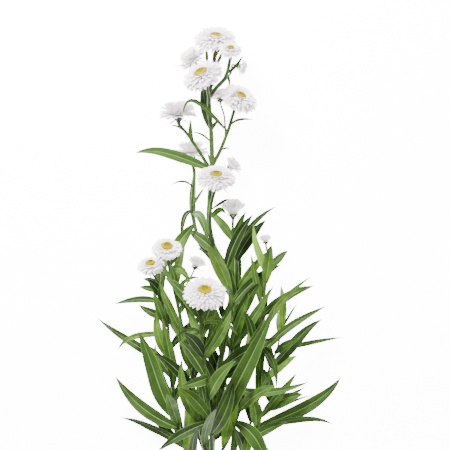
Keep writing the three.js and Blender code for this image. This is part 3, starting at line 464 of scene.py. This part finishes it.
def leaves_by_rule():
    for row, (stem_name, first, last, count, long, wide) in enumerate(FOLIAGE):
        for i in range(count):
            n = 100 * row + i
            t = lerp(first, last, i / (count - 1))
            start = on_axis(stem_name, t)[0]
            along = tangents(lines[stem_name], t)
            length = long * (1 - SHORTER_ABOVE * t) * varied(n, 1)
            spread = (0.45 + 0.4 * draw(n, 2)) * length
            roll = 0.9 * (draw(n, 4) - 0.5)
            side, normal = frames(along)
            courses = []
            for turn in TURNS:
                angle = GOLDEN_ANGLE * i + row + math.radians(turn)
                out = side[0] * math.cos(angle) + normal[0] * FLATTENED * math.sin(angle)
                for lift in SMALL_LIFTS:
                    bends = [
                        raised(start + along[0] * up * length + out * away * spread, share * lift)
                        for up, away, share in RULED_COURSE
                    ]
                    courses.append([start, *bends])
            course = kept_course(stem_name, roll, courses)
            if course is not None:
                yield stem_name, course, wide * varied(n, 3), roll


# Meshes

# Places of the materials of a leafy stem. A bloom's rays and its disc have one each.
ON_LEAVES, ON_STALKS, ON_BRACTS = 0, 1, 2
ON_BLOOM = 0


def placed(name, data):
    """A new object in the scene."""
    made = bpy.data.objects.new(name, data)
    bpy.context.scene.collection.objects.link(made)
    return made


class Pile:
    """Closed shapes that make one piece.

    Its materials read four values at each point: how far across and along a blade it is, a tone,
    and 1 for the side below.
    """

    def __init__(self):
        self.points, self.looks, self.rims, self.faces, self.materials = [], [], [], [], []
        self.count = 0

    def keep(self, points, looks, rims):
        self.points.append(points)
        self.looks.append(looks)
        self.rims.append(rims)
        self.count += len(points)

    def add(self, rings, look, material, rims=(), start=None, end=None):
        """A tube through rings of as many points each, round to the left seen from its end.

        A start or end point closes it there in a fan. Without one the two halves of the ring
        are joined across. Rims are the places in a ring where the surface has a sharp edge.
        """
        rings = np.asarray(rings, float)
        n, k = rings.shape[:2]
        index = self.count + np.arange(n * k).reshape(n, k)
        turned = np.roll(index, -1, axis=1)
        quads = np.stack([index[:-1], turned[:-1], turned[1:], index[1:]], -1).reshape(-1, 4)
        faces = quads.tolist()
        look = np.broadcast_to(look, (n, k, 4)).reshape(-1, 4)
        rim = np.zeros((n, k), bool)
        rim[:, list(rims)] = True
        self.keep(rings.reshape(-1, 3), look, rim.ravel())
        for point, ring, flip in ((start, index[0], True), (end, index[-1], False)):
            if point is None:
                cap = []
                for j in range(k // 2):
                    corners = ring[[j, j + 1, (k - j - 1) % k, (k - j) % k]]
                    cap.append(list(dict.fromkeys(corners)))
            else:
                cap = [[ring[j], ring[(j + 1) % k], self.count] for j in range(k)]
                self.keep([point], look[:1] if flip else look[-1:], [False])
            faces += [face[::-1] if flip else face for face in cap]
        self.faces += faces
        self.materials += [material] * len(faces)

    def make(self, node, slot, materials):
        """The piece that stands for a node."""
        mesh = bpy.data.meshes.new(node + "_fine")
        points = np.vstack(self.points) + CENTRING
        points[:, 2] = np.maximum(points[:, 2], 0)
        mesh.from_pydata((points * MM).tolist(), [], self.faces)
        for material in materials:
            mesh.materials.append(material)
        mesh.polygons.foreach_set("material_index", self.materials)
        mesh.polygons.foreach_set("use_smooth", [True] * len(self.faces))
        look = mesh.attributes.new("look", "FLOAT_COLOR", "POINT")
        look.data.foreach_set("color", np.vstack(self.looks).astype(np.float32).ravel())
        ends = np.zeros(2 * len(mesh.edges), np.int32)
        mesh.edges.foreach_get("vertices", ends)
        on_rim = np.concatenate(self.rims)[ends.reshape(-1, 2)].all(axis=1)
        mesh.edges.foreach_set("use_edge_sharp", on_rim)
        mesh.update()
        piece = placed(node + "_fine", mesh)
        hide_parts(node)
        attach(piece, "root")


def blades(top):
    """Places across a blade, from one edge over its top to the other and back underneath."""
    top = np.array(top)
    across = np.concatenate([top, -top[1:-1]])
    under = np.concatenate([np.zeros(len(top)), np.ones(len(top) - 2)])
    return across, under, (0, len(top) - 1)


LEAF_ACROSS, LEAF_UNDER, LEAF_RIMS = blades(
    [1, 0.84, 0.6, 0.36, 0.16, 0.06, 0, -0.06, -0.16, -0.36, -0.6, -0.84, -1]
)
RAY_ACROSS, RAY_UNDER, RAY_RIMS = blades([1, 0.55, 0, -0.55, -1])


def leaf_outline(s):
    """The width of a leaf at shares of its length, as a share of its widest."""
    return (0.35 * (1 - s) + np.maximum(np.sin(np.pi * s), 0) ** 0.85) / 1.15


def along_midrib(across, scale, depth, wide):
    """How deep a groove or keel is at places across a leaf."""
    return depth * scale * np.exp(-((across / wide) ** 2))


def add_leaf(pile, course, width, roll, tone, seed):
    """A leaf blade: folded along a sunken midrib, keeled below, with edges that wave."""
    rng = np.random.default_rng(seed)
    curve = bezier(course)
    count = int(np.clip(length_of(curve) / LEAF_STEP, *LEAF_STEPS))
    even = np.linspace(0, 1, count + 1)[:-1]
    s = (1 - np.cos(np.pi * even)) / 4 + even / 2
    twist = rng.uniform(-0.3, 0.3) * smooth(0.3, 1.0, s)
    side, normal = frames(tangents(curve, s), roll + twist)
    half = column(leaf_outline(s) * width / 2)
    a = LEAF_ACROSS[None, :]
    edge = np.abs(a)
    thick = (LEAF_THICK + LEAF_THICK_BY_WIDTH * width) * (1 - edge**3) * np.minimum(1, half / 1.5)
    ripples = rng.uniform(1.2, 2.4)
    phases = rng.uniform(0, 2 * np.pi, 2)
    ripple = np.sin(2 * np.pi * ripples * column(s) + np.where(a > 0, phases[0], phases[1]))
    middle = half * math.sin(BLADE_FOLD) * edge**1.2
    middle = middle + rng.uniform(0.02, 0.07) * width * edge**3 * ripple * column(smooth(0, 0.2, s))
    scale = np.minimum(1, half / 3)
    top = middle + thick / 2 - along_midrib(a, scale, *GROOVE)
    bottom = middle - thick / 2 - along_midrib(a, scale, *KEEL)
    up = np.where(LEAF_UNDER > 0, bottom, top)
    rings = sections(curve(s), side, normal, a * half * math.cos(BLADE_FOLD), up)
    look = stacked(a, column(s), tone, LEAF_UNDER[None, :])
    pile.add(rings, look, ON_LEAVES, LEAF_RIMS, start=curve(0)[0], end=curve(1)[0])


def round_rings(centres, tangent, radii, sides):
    """Rings about points of a line, with soft ribs."""
    side, normal = frames(tangent)
    angle = 2 * np.pi * np.arange(sides) / sides
    radius = column(radii) * (1 + STALK_RIB_DEPTH * np.cos(STALK_RIBS * angle))
    return sections(centres, side, normal, radius * np.cos(angle), radius * np.sin(angle))


def add_stalk(pile, name):
    """A stem or twig: slightly ribbed, and wider where it leaves the one below it."""
    curve = lines[name]
    length = length_of(curve)
    t = np.linspace(0, 1, int(length / STALK_STEP) + 4)
    root, tip = STEMS[name].radii
    radius = lerp(root, tip, t)
    if name != "main":
        radius = radius * (1 + STALK_FLARE * np.exp(-t * length / (3 * root)))
    sides = 18 if root > 1.4 else 12
    rings = round_rings(curve(t), tangents(curve, t), radius, sides)
    if root <= 1.7 or name == "main":
        reddish = smooth(0.45, 1, t)
    else:
        reddish = 0.3 * smooth(0.5, 1, t)
    look = stacked(np.zeros((1, sides)), column(t), column(reddish), 0.0)
    pile.add(rings, look, ON_STALKS, start=curve(0)[0], end=curve(1)[0])
    if name == "main":
        add_cut_face(pile, rings[0], curve(0)[0], tangents(curve, 0)[0])


def add_cut_face(pile, ring, middle, tangent):
    """The pale pith in the cut end, with a rim of green round it."""
    share = column(PITH_SHARES)
    stand = column([-PITH_STANDS_OUT] * 3 + [PITH_REACHES_IN])
    rings = middle + (ring - middle) * share[..., None] + tangent * stand[..., None]
    look = stacked(share, np.zeros((1, len(ring))), 0.0, 1.0)
    low, high = middle - tangent * PITH_STANDS_OUT, middle + tangent * PITH_REACHES_IN
    pile.add(rings, look, ON_STALKS, start=low, end=high)


# Blooms


def bloom_frame(bloom):
    """What places a bloom's own points, given with its face along +Z, and the bloom's scale."""
    turn = Vector((0, 0, 1)).rotation_difference(Vector(bloom.face).normalized()).to_matrix()
    turn = np.array(turn)
    seat = np.array(bloom.seat, float)
    return (lambda points: points @ turn.T + seat), bloom.radius / BLOOM_RADIUS


def strap(at, angle, line, share, across, above):
    """Points of a strap that leaves the axis at a radius and height, rising and then curling."""
    radius, height, rise, curl, length = line
    lean = rise + curl * share
    middle = rise + curl * share / 2
    out = radius + length * share * np.cos(middle) - above * np.sin(lean)
    up = height + length * share * np.sin(middle) + above * np.cos(lean)
    x = out * np.cos(angle) - across * np.sin(angle)
    y = out * np.sin(angle) + across * np.cos(angle)
    return at(stacked(x, y, up))


def add_lathe(pile, at, profile, look, material, sides=20):
    """A closed solid of revolution about a bloom's axis."""
    angle = 2 * np.pi * np.arange(sides) / sides
    profile = np.array(profile, float)
    radius, height = profile[:, :1], profile[:, 1:]
    rings = at(stacked(radius * np.cos(angle), radius * np.sin(angle), height))
    low, high = at(np.array([[0, 0, profile[0, 1]], [0, 0, profile[-1, 1]]]))
    pile.add(rings, look, material, start=low, end=high)


def add_bract(pile, at, angle, line, width, tone):
    """A narrow green bract, channelled and pointed."""
    s = np.array([0, 0.12, 0.3, 0.5, 0.7, 0.85, 0.95])
    half = column(width / 2 * (0.75 + 0.5 * s) * (1 - s**2.4))
    a = RAY_ACROSS[None, :]
    thick = BRACT_THICK * (1 - a**2) * np.minimum(1, half / 0.4)
    above = 0.3 * half * a**2 + np.where(RAY_UNDER > 0, -thick, thick) / 2
    rings = strap(at, angle, line, column(s), a * half, above)
    tip = strap(at, angle, line, np.array([1.0]), 0.0, 0.0)[0]
    look = stacked(a, column(s), tone, RAY_UNDER[None, :])
    pile.add(rings, look, ON_BRACTS, RAY_RIMS, end=tip)


# A cup from its stalk up: radius, what is added to it at any size, and height.
CUP = [(2.5, 0.3, -4.8), (3.3, 0.3, -3.4), (3.8, 0.3, -2.0), (3.9, 0.2, -1.0)]
CUP_RIM = 3.0

# Its scales: height of each row, rise in degrees and reach.
SCALE_ROWS = [(-5.2, 62, 5.6), (-4.2, 52, 6.2), (-3.0, 40, 6.0)]
SCALES_IN_ROW = 11
SCALE_RISE_WHEN_CLOSED = 76
SCALE_CURL = math.radians(-16)
BRACT_CURL = 0.2


def add_cup(pile, bloom, index):
    """The green cup under a bloom: scales that hug it, and leafy bracts that stand off."""
    at, k = bloom_frame(bloom)
    stalk = STEMS[bloom.stem].radii[1]
    profile = [(stalk * 0.95, -7.5 * k), (stalk + 0.4 * k, -6.2 * k)]
    profile += [(wide * k + more, high * k) for wide, more, high in CUP]
    profile.append((CUP_RIM * k, -GAP))
    add_lathe(pile, at, profile, (0, 0.3, 0.2, 0), ON_BRACTS)
    for row, (height, rise, reach) in enumerate(SCALE_ROWS):
        start = (1.9 + 0.75 * row) * k + 0.3
        for i in range(SCALES_IN_ROW):
            n = 7000 + 100 * index + 20 * row + i
            turned = i + 0.5 * (row % 2) + 0.4 * (draw(n, 1) - 0.5)
            angle = 2 * math.pi * turned / SCALES_IN_ROW
            lean = lerp(rise, SCALE_RISE_WHEN_CLOSED, 0.7 * bloom.closed) + 8 * (draw(n, 2) - 0.5)
            line = (start, height * k, math.radians(lean), SCALE_CURL, reach * k * varied(n, 3))
            add_bract(pile, at, angle, line, 1.7 * k**0.7, 0.25 + 0.5 * draw(n, 4))
    count = 8 if bloom.radius > 10 else 6
    for i in range(count):
        n = 5000 + 100 * index + i
        rise = math.radians(-36 + 50 * bloom.closed + 16 * draw(n, 2))
        length = (11 + 6 * draw(n, 3)) * k**0.6 + 0.6 * k
        angle = (i + 1) * 2 * math.pi / count + 0.3 * (draw(n, 1) - 0.5)
        line = (3.0 * k, -2.6 * k, rise, BRACT_CURL, length)
        add_bract(pile, at, angle, line, 1.9 * k**0.6, 0.3)


# Rows of rays from the outermost: rise and curl in degrees, reach, width and number.
RAY_ROWS = [
    (0, -28, 0.98, 3.6, 30), (10, -32, 1.0, 3.6, 32), (22, -36, 0.97, 3.4, 32), (34, -40, 0.9, 3.2, 30),
    (47, -44, 0.8, 3.0, 26), (60, -48, 0.68, 2.6, 22), (74, -48, 0.54, 2.4, 18),
]
FULL_RAY_ROWS = [
    (2, -28, 1.0, 3.8, 28), (13, -28, 1.02, 3.8, 30), (25, -28, 1.0, 3.7, 32), (38, -26, 1.0, 3.6, 32),
    (52, -24, 0.96, 3.5, 30), (66, -22, 0.92, 3.4, 26), (80, -20, 0.86, 3.2, 20),
]
RISE_WHEN_CLOSED = 80

# Which of these rows a bloom has, by how dense it is.
LAYERS = {1: [0, 3], 2: [0, 2, 4, 5], 3: [0, 1, 2, 4, 5], 4: [0, 1, 2, 3, 4, 5, 6]}

# The core that the rays stand on, open and closed: radius and height.
CORE = np.array([[5.2, 0.3], [6.2, 1.6], [6.3, 2.9], [5.9, 4.2], [5.1, CORE_TOP]])
CLOSED_CORE = np.array([[6.2, 0.6], [5.0, 1.8], [4.2, 3.0], [3.6, 4.2], [3.0, CORE_TOP]])
CORE_SHRUNK = 0.93

# A ray's width at places along it, as a share of its greatest.
RAY_OUTLINE = [0, 0.15, 0.45, 0.7, 0.88, 0.96, 1], [0.42, 0.6, 0.9, 1, 0.9, 0.66, 0.4]


def add_ray(pile, at, angle, line, width, tone, rng):
    """A white ray: narrow at its base, channelled, with a blunt tip of three small teeth."""
    s = np.array([0, 0.1, 0.25, 0.42, 0.6, 0.76, 0.88, 0.96, 1.0])
    half = column(width / 2 * np.interp(s, *RAY_OUTLINE))
    a = RAY_ACROSS[None, :]
    teeth = 0.035 * (1 - np.cos(2.2 * np.pi * a)) / 2 + 0.03 * a**2
    share = column(s) - teeth * column(smooth(0.8, 1, s))
    thick = RAY_THICK * (1 - 0.85 * a**2)
    cupped = rng.uniform(-0.25, 0.5) * half * (a**2 - 0.3)
    above = cupped + np.where(RAY_UNDER > 0, -thick, thick) / 2
    twist = rng.uniform(-0.5, 0.5) * column(smooth(0.2, 1, s))
    across = a * half * np.cos(twist) - above * np.sin(twist)
    above = a * half * np.sin(twist) + above * np.cos(twist)
    bend = rng.uniform(-0.09, 0.09) * line[4]
    rings = strap(at, angle, line, share, across + bend * column(s) ** 2, above)
    look = stacked(a, column(s), tone, RAY_UNDER[None, :])
    pile.add(rings, look, ON_BLOOM, RAY_RIMS)


def add_rays(pile, bloom, index):
    """The rows of rays of a bloom, on a core that is hidden among them."""
    rng = np.random.default_rng(300 + index)
    at, k = bloom_frame(bloom)
    profile = lerp(CORE, CLOSED_CORE, bloom.closed) * k * [bloom.heart, 1]
    shrunk = profile * [CORE_SHRUNK, 1]
    shrunk = np.vstack([[shrunk[0, 0] * 0.6, 0.1], shrunk])
    add_lathe(pile, at, shrunk, (0, 0, 0.5, 0), ON_BLOOM)
    rows = FULL_RAY_ROWS if bloom.full else RAY_ROWS
    bands = (profile[:-1] + profile[1:]) / 2
    for layer in LAYERS[bloom.density]:
        rise, curl, reach, width, number = rows[layer]
        count = max(11, int(number * k**0.35))
        band = (len(bands) - 1) * layer / (len(rows) - 1)
        radius, height = [np.interp(band, range(len(bands)), bands[:, i]) for i in (0, 1)]
        loose = 1 - 0.6 * bloom.closed
        for i in range(count):
            angle = 2 * math.pi * (i + 0.37 * layer + rng.uniform(-0.22, 0.22) * loose) / count
            opened = rise + rng.uniform(-6, 6)
            lean = math.radians(lerp(opened, RISE_WHEN_CLOSED + 2 * layer, bloom.closed))
            bend = math.radians((curl + rng.uniform(-8, 8)) * (1 - bloom.closed))
            length = (bloom.radius * reach - radius * 0.8) * rng.uniform(0.92, 1.06)
            line = (radius * 0.9, height, lean, bend, length + 0.1 * radius)
            wide = width * k**0.5 * rng.uniform(0.88, 1.08)
            add_ray(pile, at, angle, line, wide, rng.uniform(), rng)


# Rings of a small tube of the disc: height, width, and how deep its five lobes are.
OPEN_FLORET = [
    (-0.2, 0.55, 0), (0.55, 0.7, 0), (0.85, 0.95, 0.1), (1.0, 1.3, 0.28), (0.94, 0.75, 0.1),
    (0.8, 0.3, 0),
]
CLOSED_FLORET = [(-0.2, 0.6, 0), (0.4, 0.85, 0), (0.75, 0.9, 0.05), (0.95, 0.6, 0.1), (1.02, 0.2, 0)]
OPEN_TOP = 0.78
CLOSED_TOP = 1.05
FLORET_HEIGHT = 1.45
FLORET_WIDTH = 0.52
FLORET_SIDES = 10
FLORETS = (14, 74)
OPEN_FROM = 0.52
DISC_RADIUS = 4.9
DISC_RISE = 1.5


def add_disc(pile, bloom, index):
    """The disc: a dome set with small tubes in a golden spiral, open round its edge."""
    rng = np.random.default_rng(700 + index)
    at, k = bloom_frame(bloom)
    reach = DISC_RADIUS * k * bloom.heart * (1 - 0.3 * bloom.closed)
    floor = CORE_TOP * k + GAP
    rise = DISC_RISE * k
    dome = [(reach * 0.96, floor - 0.1)]
    dome += [(reach * math.cos(a), floor + rise * math.sin(a)) for a in np.radians([0, 15, 35, 55, 75])]
    add_lathe(pile, at, dome, (0.2, 0, 0.2, 0), ON_BLOOM, 16)
    fewest, usual = FLORETS
    count = int(max(fewest, usual * (k * bloom.heart) ** 1.7))
    angle = 2 * np.pi * np.arange(FLORET_SIDES) / FLORET_SIDES
    for i in range(count):
        share = math.sqrt((i + 0.5) / count)
        x, y = math.cos(i * GOLDEN_ANGLE), math.sin(i * GOLDEN_ANGLE)
        middle = np.array([reach * share * x, reach * share * y, 0.0])
        middle[2] = floor + rise * math.sqrt(max(0, 1 - share**2))
        direction = unit(np.array([0.55 * share * x, 0.55 * share * y, 1.0]))
        if share > OPEN_FROM and bloom.closed < 0.3:
            tube, look_open, top, tall = OPEN_FLORET, 1.0, OPEN_TOP, FLORET_HEIGHT
        else:
            tube, look_open, top, tall = CLOSED_FLORET, 0.0, CLOSED_TOP, 1.0 - 0.25 * (1 - share)
        tall = tall * (0.75 + 0.25 * k) * rng.uniform(0.85, 1.15)
        wide = FLORET_WIDTH * (0.8 + 0.2 * k) * rng.uniform(0.9, 1.1)
        side = unit(np.cross([0.0, 1.0, 0.02], direction))
        normal = np.cross(direction, side)
        rings = []
        for up, out, lobes in tube:
            r = wide * out * (1 + lobes * np.cos(5 * angle + i))
            ring = middle + direction * tall * up + side * (r * np.cos(angle))[:, None]
            rings.append(ring + normal * (r * np.sin(angle))[:, None])
        look = stacked(share, column([up for up, _, _ in tube]), rng.uniform(), look_open)
        low, high = at(np.array([middle - direction * 0.2 * tall, middle + direction * top * tall]))
        pile.add(at(np.array(rings)), look, ON_BLOOM, start=low, end=high)


# Materials

LEAF_DARK, LEAF_GREEN, LEAF_PALE = "12200c", "2f4817", "668a2f"
# The edge colour is a painted highlight on the leaves' rims.
LEAF_VEIN, LEAF_RIB, LEAF_RIM_HIGHLIGHT, LEAF_TIP = "54742c", "86a457", "789646", "6b5b37"
LEAF_BACK, LEAF_BACK_RIB = "426334", "6f9152"
STALK_DARK, STALK_GREEN, STALK_RED = "1b2d0a", "314917", "3f2415"
PITH, PITH_RIM = "e4e8cc", "8fae62"
BRACT_DARK, BRACT_GREEN, BRACT_EDGE, BRACT_TIP = "12240d", "29451a", "42602c", "4c3a2e"
# The back colour is painted shade on the rays' undersides.
RAY_WHITE, RAY_BLUSH, RAY_UNDERSIDE_SHADE = "fdf9f9", "f8ecf0", "efe2e9"
# The edge colour is painted shade along the rays' edges.
# The furrow colour is painted shade in the furrows along the rays.
RAY_BASE, RAY_FURROW_SHADE, RAY_EDGE_SHADE = "cbc79a", "bfa9bb", "ddd3e2"
# The deep colour is painted shade low among the florets.
FLORET_YELLOW, FLORET_GOLD, FLORET_DEPTH_SHADE = "928000", "887400", "5c4200"
BUD_YELLOW, BUD_GOLD = "827900", "766c00"
NOISE_DETAIL = 3.0
MIX_SHARE, MIX_A, MIX_B, MIX_RESULT = 0, 6, 7, 2  # sockets of a mix of colours


def linear(hexed):
    """The linear colour of a plain hex value."""
    channels = [int(hexed[i : i + 2], 16) / 255 for i in (0, 2, 4)]
    return [c / 12.92 if c < 0.04045 else ((c + 0.055) / 1.055) ** 2.4 for c in channels] + [1]


def set_sockets(node, **values):
    """Sets input sockets of a node, each named with underscores for its spaces."""
    for socket, value in values.items():
        node.inputs[socket.replace("_", " ")].default_value = value


class Shader:
    """A material that is put together from nodes."""

    def __init__(self, name, **fixed):
        self.material = bpy.data.materials.new(name)
        self.material.use_nodes = True
        self.nodes = self.material.node_tree.nodes
        self.links = self.material.node_tree.links
        self.surface = self.nodes["Principled BSDF"]
        set_sockets(self.surface, **fixed)
        attribute = self.nodes.new("ShaderNodeAttribute")
        attribute.attribute_name = "look"
        split = self.nodes.new("ShaderNodeSeparateColor")
        self.links.new(attribute.outputs["Color"], split.inputs["Color"])
        self.across, self.along, self.tone = split.outputs
        self.under = attribute.outputs["Alpha"]
        self.place = self.nodes.new("ShaderNodeTexCoord").outputs["Object"]

    def put(self, value, socket):
        if isinstance(value, bpy.types.NodeSocket):
            self.links.new(value, socket)
        else:
            socket.default_value = linear(value) if isinstance(value, str) else value

    def math(self, operation, *values):
        node = self.nodes.new("ShaderNodeMath")
        node.operation = operation
        for value, socket in zip(values, node.inputs):
            self.put(value, socket)
        return node.outputs[0]

    def add(self, a, b):
        return self.math("ADD", a, b)

    def times(self, a, b):
        return self.math("MULTIPLY", a, b)

    def rest(self, value):
        """What is left to 1."""
        return self.math("SUBTRACT", 1.0, value)

    def step(self, value, low, high):
        """0 at low, 1 at high, softly."""
        node = self.nodes.new("ShaderNodeMapRange")
        node.interpolation_type = "SMOOTHSTEP"
        self.put(value, node.inputs["Value"])
        set_sockets(node, From_Min=low, From_Max=high)
        return node.outputs[0]

    def mix(self, share, a, b):
        node = self.nodes.new("ShaderNodeMix")
        node.data_type = "RGBA"
        self.put(share, node.inputs[MIX_SHARE])
        self.put(a, node.inputs[MIX_A])
        self.put(b, node.inputs[MIX_B])
        return node.outputs[MIX_RESULT]

    def tint(self, colour, where, strength, other):
        """The colour with some of another one over it in places."""
        return self.mix(self.times(where, strength), colour, other)

    def noise(self, scale):
        node = self.nodes.new("ShaderNodeTexNoise")
        self.links.new(self.place, node.inputs["Vector"])
        set_sockets(node, Scale=scale, Detail=NOISE_DETAIL)
        return node.outputs[0]

    def roughness(self, least, noise):
        return self.add(least, self.times(noise, 0.2))

    def finish(self, colour, roughness, height, distance):
        self.put(colour, self.surface.inputs["Base Color"])
        self.put(roughness, self.surface.inputs["Roughness"])
        bump = self.nodes.new("ShaderNodeBump")
        set_sockets(bump, Distance=distance)
        self.put(height, bump.inputs["Height"])
        self.links.new(bump.outputs[0], self.surface.inputs["Normal"])
        return self.material


def leaf_material():
    m = Shader("leaf_green", Specular_IOR_Level=0.12)
    edge = m.math("ABSOLUTE", m.across)
    mottle, fine = m.noise(90.0), m.noise(900.0)
    tone = m.add(m.tone, m.times(m.math("SUBTRACT", mottle, 0.5), 0.5))
    green = m.mix(m.step(tone, 0.0, 0.5), LEAF_DARK, LEAF_GREEN)
    green = m.mix(m.step(tone, 0.5, 1.0), green, LEAF_PALE)
    lengthwise = m.math("SINE", m.add(m.times(edge, 21.0), m.times(mottle, 2.0)))
    veins = m.times(m.step(lengthwise, 0.55, 1.0), m.rest(m.along))
    green = m.tint(green, veins, 0.3, LEAF_VEIN)
    rib = m.rest(m.step(edge, 0.02, 0.11))
    fading = m.rest(m.times(m.along, 0.6))
    green = m.tint(green, m.times(rib, fading), 0.6, LEAF_RIB)
    green = m.tint(green, m.under, 0.6, m.tint(LEAF_BACK, rib, 0.6, LEAF_BACK_RIB))
    # Painted highlight: a paler yellow green along the leaves' rims.
    green = m.tint(green, m.step(edge, 0.86, 1.0), 0.45, LEAF_RIM_HIGHLIGHT)
    green = m.tint(green, m.step(m.along, 0.93, 1.0), 0.45, LEAF_TIP)
    height = m.add(m.times(veins, 0.6), m.times(fine, 0.35))
    return m.finish(green, m.roughness(0.48, fine), height, 0.0002)


def stalk_material():
    m = Shader("stalk_green", Specular_IOR_Level=0.15)
    mottle, fine = m.noise(140.0), m.noise(1200.0)
    green = m.mix(m.step(mottle, 0.3, 0.7), STALK_DARK, STALK_GREEN)
    reddish = m.add(m.tone, m.math("SUBTRACT", mottle, 0.5))
    green = m.tint(green, m.step(reddish, 0.35, 1.1), 0.7, STALK_RED)
    pith = m.mix(m.step(m.across, 0.55, 0.8), PITH, PITH_RIM)
    colour = m.mix(m.under, green, pith)
    return m.finish(colour, m.roughness(0.45, fine), fine, 0.00025)


def bract_material():
    m = Shader("bract_green", Specular_IOR_Level=0.2)
    mottle = m.noise(300.0)
    share = m.add(m.times(m.tone, 0.7), m.times(mottle, 0.3))
    green = m.mix(share, BRACT_DARK, BRACT_GREEN)
    edge = m.math("ABSOLUTE", m.across)
    green = m.tint(green, m.step(edge, 0.6, 1.0), 0.35, BRACT_EDGE)
    green = m.tint(green, m.step(m.along, 0.75, 1.0), 0.4, BRACT_TIP)
    return m.finish(green, 0.55, mottle, 0.0002)


def ray_material():
    m = Shader("ray_white", Specular_IOR_Level=0.3, Subsurface_Weight=0.05, Subsurface_Scale=0.002)
    fine = m.noise(500.0)
    white = m.tint(RAY_WHITE, m.tone, 0.7, RAY_BLUSH)
    # Painted shade: the rays' undersides are tinted a greyer pink.
    white = m.tint(white, m.under, 0.5, RAY_UNDERSIDE_SHADE)
    base = m.rest(m.step(m.along, 0.05, 0.5))
    white = m.tint(white, base, 0.6, RAY_BASE)
    # Painted shade: a darker lavender grey in the furrows along each ray, which also set the bump.
    furrows = m.step(m.math("COSINE", m.times(m.across, 9.0)), 0.3, 1.0)
    white = m.tint(white, furrows, 0.4, RAY_FURROW_SHADE)
    # Painted shade: a faint lavender grey along the rays' edges.
    edge = m.math("ABSOLUTE", m.across)
    white = m.tint(white, m.step(edge, 0.8, 1.0), 0.1, RAY_EDGE_SHADE)
    height = m.math("SUBTRACT", m.times(fine, 0.3), furrows)
    return m.finish(white, m.roughness(0.5, fine), height, 0.00015)


def disc_material():
    m = Shader("disc_yellow", Specular_IOR_Level=0.0)
    fine = m.noise(700.0)
    yellow = m.mix(m.tone, FLORET_YELLOW, FLORET_GOLD)
    bud = m.mix(m.tone, BUD_YELLOW, BUD_GOLD)
    # Painted shade: an orange brown low among the florets and over the dome between them.
    deep = m.rest(m.step(m.along, 0.1, 0.8))
    colour = m.tint(m.mix(m.under, bud, yellow), deep, 0.5, FLORET_DEPTH_SHADE)
    return m.finish(colour, 0.6, fine, 0.0002)


LEAFY = [leaf_material(), stalk_material(), bract_material()]
RAY, DISC = ray_material(), disc_material()


# The pieces

TONES = {"main": 0.35, "far_right": 0.5, "right_outer": 0.48, "low_right": 0.5, "left_outer": 0.42}
USUAL_TONE = 0.38
TONE_RANGE = 0.7
PALE_LEAVES = {24, 27}  # places in the list of leaves of two that are pale
PALE_TONE = 0.95
BROAD_LEAVES = {21, 22, 47, 52}  # and of four broad ones, all of one middle green
BROAD_TONE = 0.36


def tone_of(place, stem_name):
    if place in PALE_LEAVES:
        return PALE_TONE
    if place in BROAD_LEAVES:
        return BROAD_TONE
    return TONES.get(stem_name, USUAL_TONE) + TONE_RANGE * (draw(900 + place, 1) - 0.5)


grown = {stem.node: Pile() for stem in STEMS.values()}
for stem_name, stem in STEMS.items():
    add_stalk(grown[stem.node], stem_name)
leaves = [*leaves_seen(), *leaves_by_rule()]
for place, (stem_name, course, width, roll) in enumerate(leaves):
    add_leaf(grown[STEMS[stem_name].node], course, width, roll, tone_of(place, stem_name), place)
for index, bloom in enumerate(BLOOMS):
    add_cup(grown[STEMS[bloom.stem].node], bloom, index)
    rays, disc = Pile(), Pile()
    add_rays(rays, bloom, index)
    rays.make(bloom.name + "_rays", "ray_white", [RAY])
    add_disc(disc, bloom, index)
    disc.make(bloom.name + "_disc", "disc_yellow", [DISC])
for node, pile in grown.items():
    pile.make(node, "leaf_green", LEAFY)


# Floor, light and camera

FLOOR_REACH = 4.0
WHITE = (1, 1, 1, 1)
LIGHTS_AIM = Vector((0, 0.02, 0.03))


def add_floor():
    mesh = bpy.data.meshes.new("floor")
    r = FLOOR_REACH
    mesh.from_pydata([(-r, -r, 0), (r, -r, 0), (r, r, 0), (-r, r, 0)], [], [(0, 1, 2, 3)])
    floor = placed("floor", mesh)
    material = bpy.data.materials.new("floor_white")
    material.use_nodes = True
    surface = material.node_tree.nodes["Principled BSDF"]
    set_sockets(surface, Base_Color=(0.8, 0.8, 0.8, 1), Roughness=0.9)
    set_sockets(surface, Emission_Color=WHITE, Emission_Strength=12.0)
    mesh.materials.append(material)


def add_light(name, place, size, power):
    light = bpy.data.lights.new(name, "AREA")
    light.size = size
    light.energy = power
    lamp = placed(name, light)
    lamp.location = place
    lamp.rotation_euler = (LIGHTS_AIM - Vector(place)).to_track_quat("-Z", "Y").to_euler()


def add_camera():
    data = bpy.data.cameras.new("view")
    data.lens = LENS
    data.sensor_width = SENSOR
    distance = VIEW_WIDTH * LENS / SENSOR
    camera = placed("view", data)
    camera.location = np.array([*VIEW_MIDDLE, VIEW_PLANE + distance]) * MM
    bpy.context.scene.camera = camera


add_floor()
add_light("key", place=(-0.45, 0.85, 0.8), size=0.35, power=66.0)
add_light("fill", place=(1.1, 0.4, 1.3), size=1.2, power=26.0)
world = bpy.data.worlds.new("studio")
world.use_nodes = True
set_sockets(world.node_tree.nodes["Background"], Color=WHITE, Strength=0.9)
bpy.context.scene.world = world
add_camera()
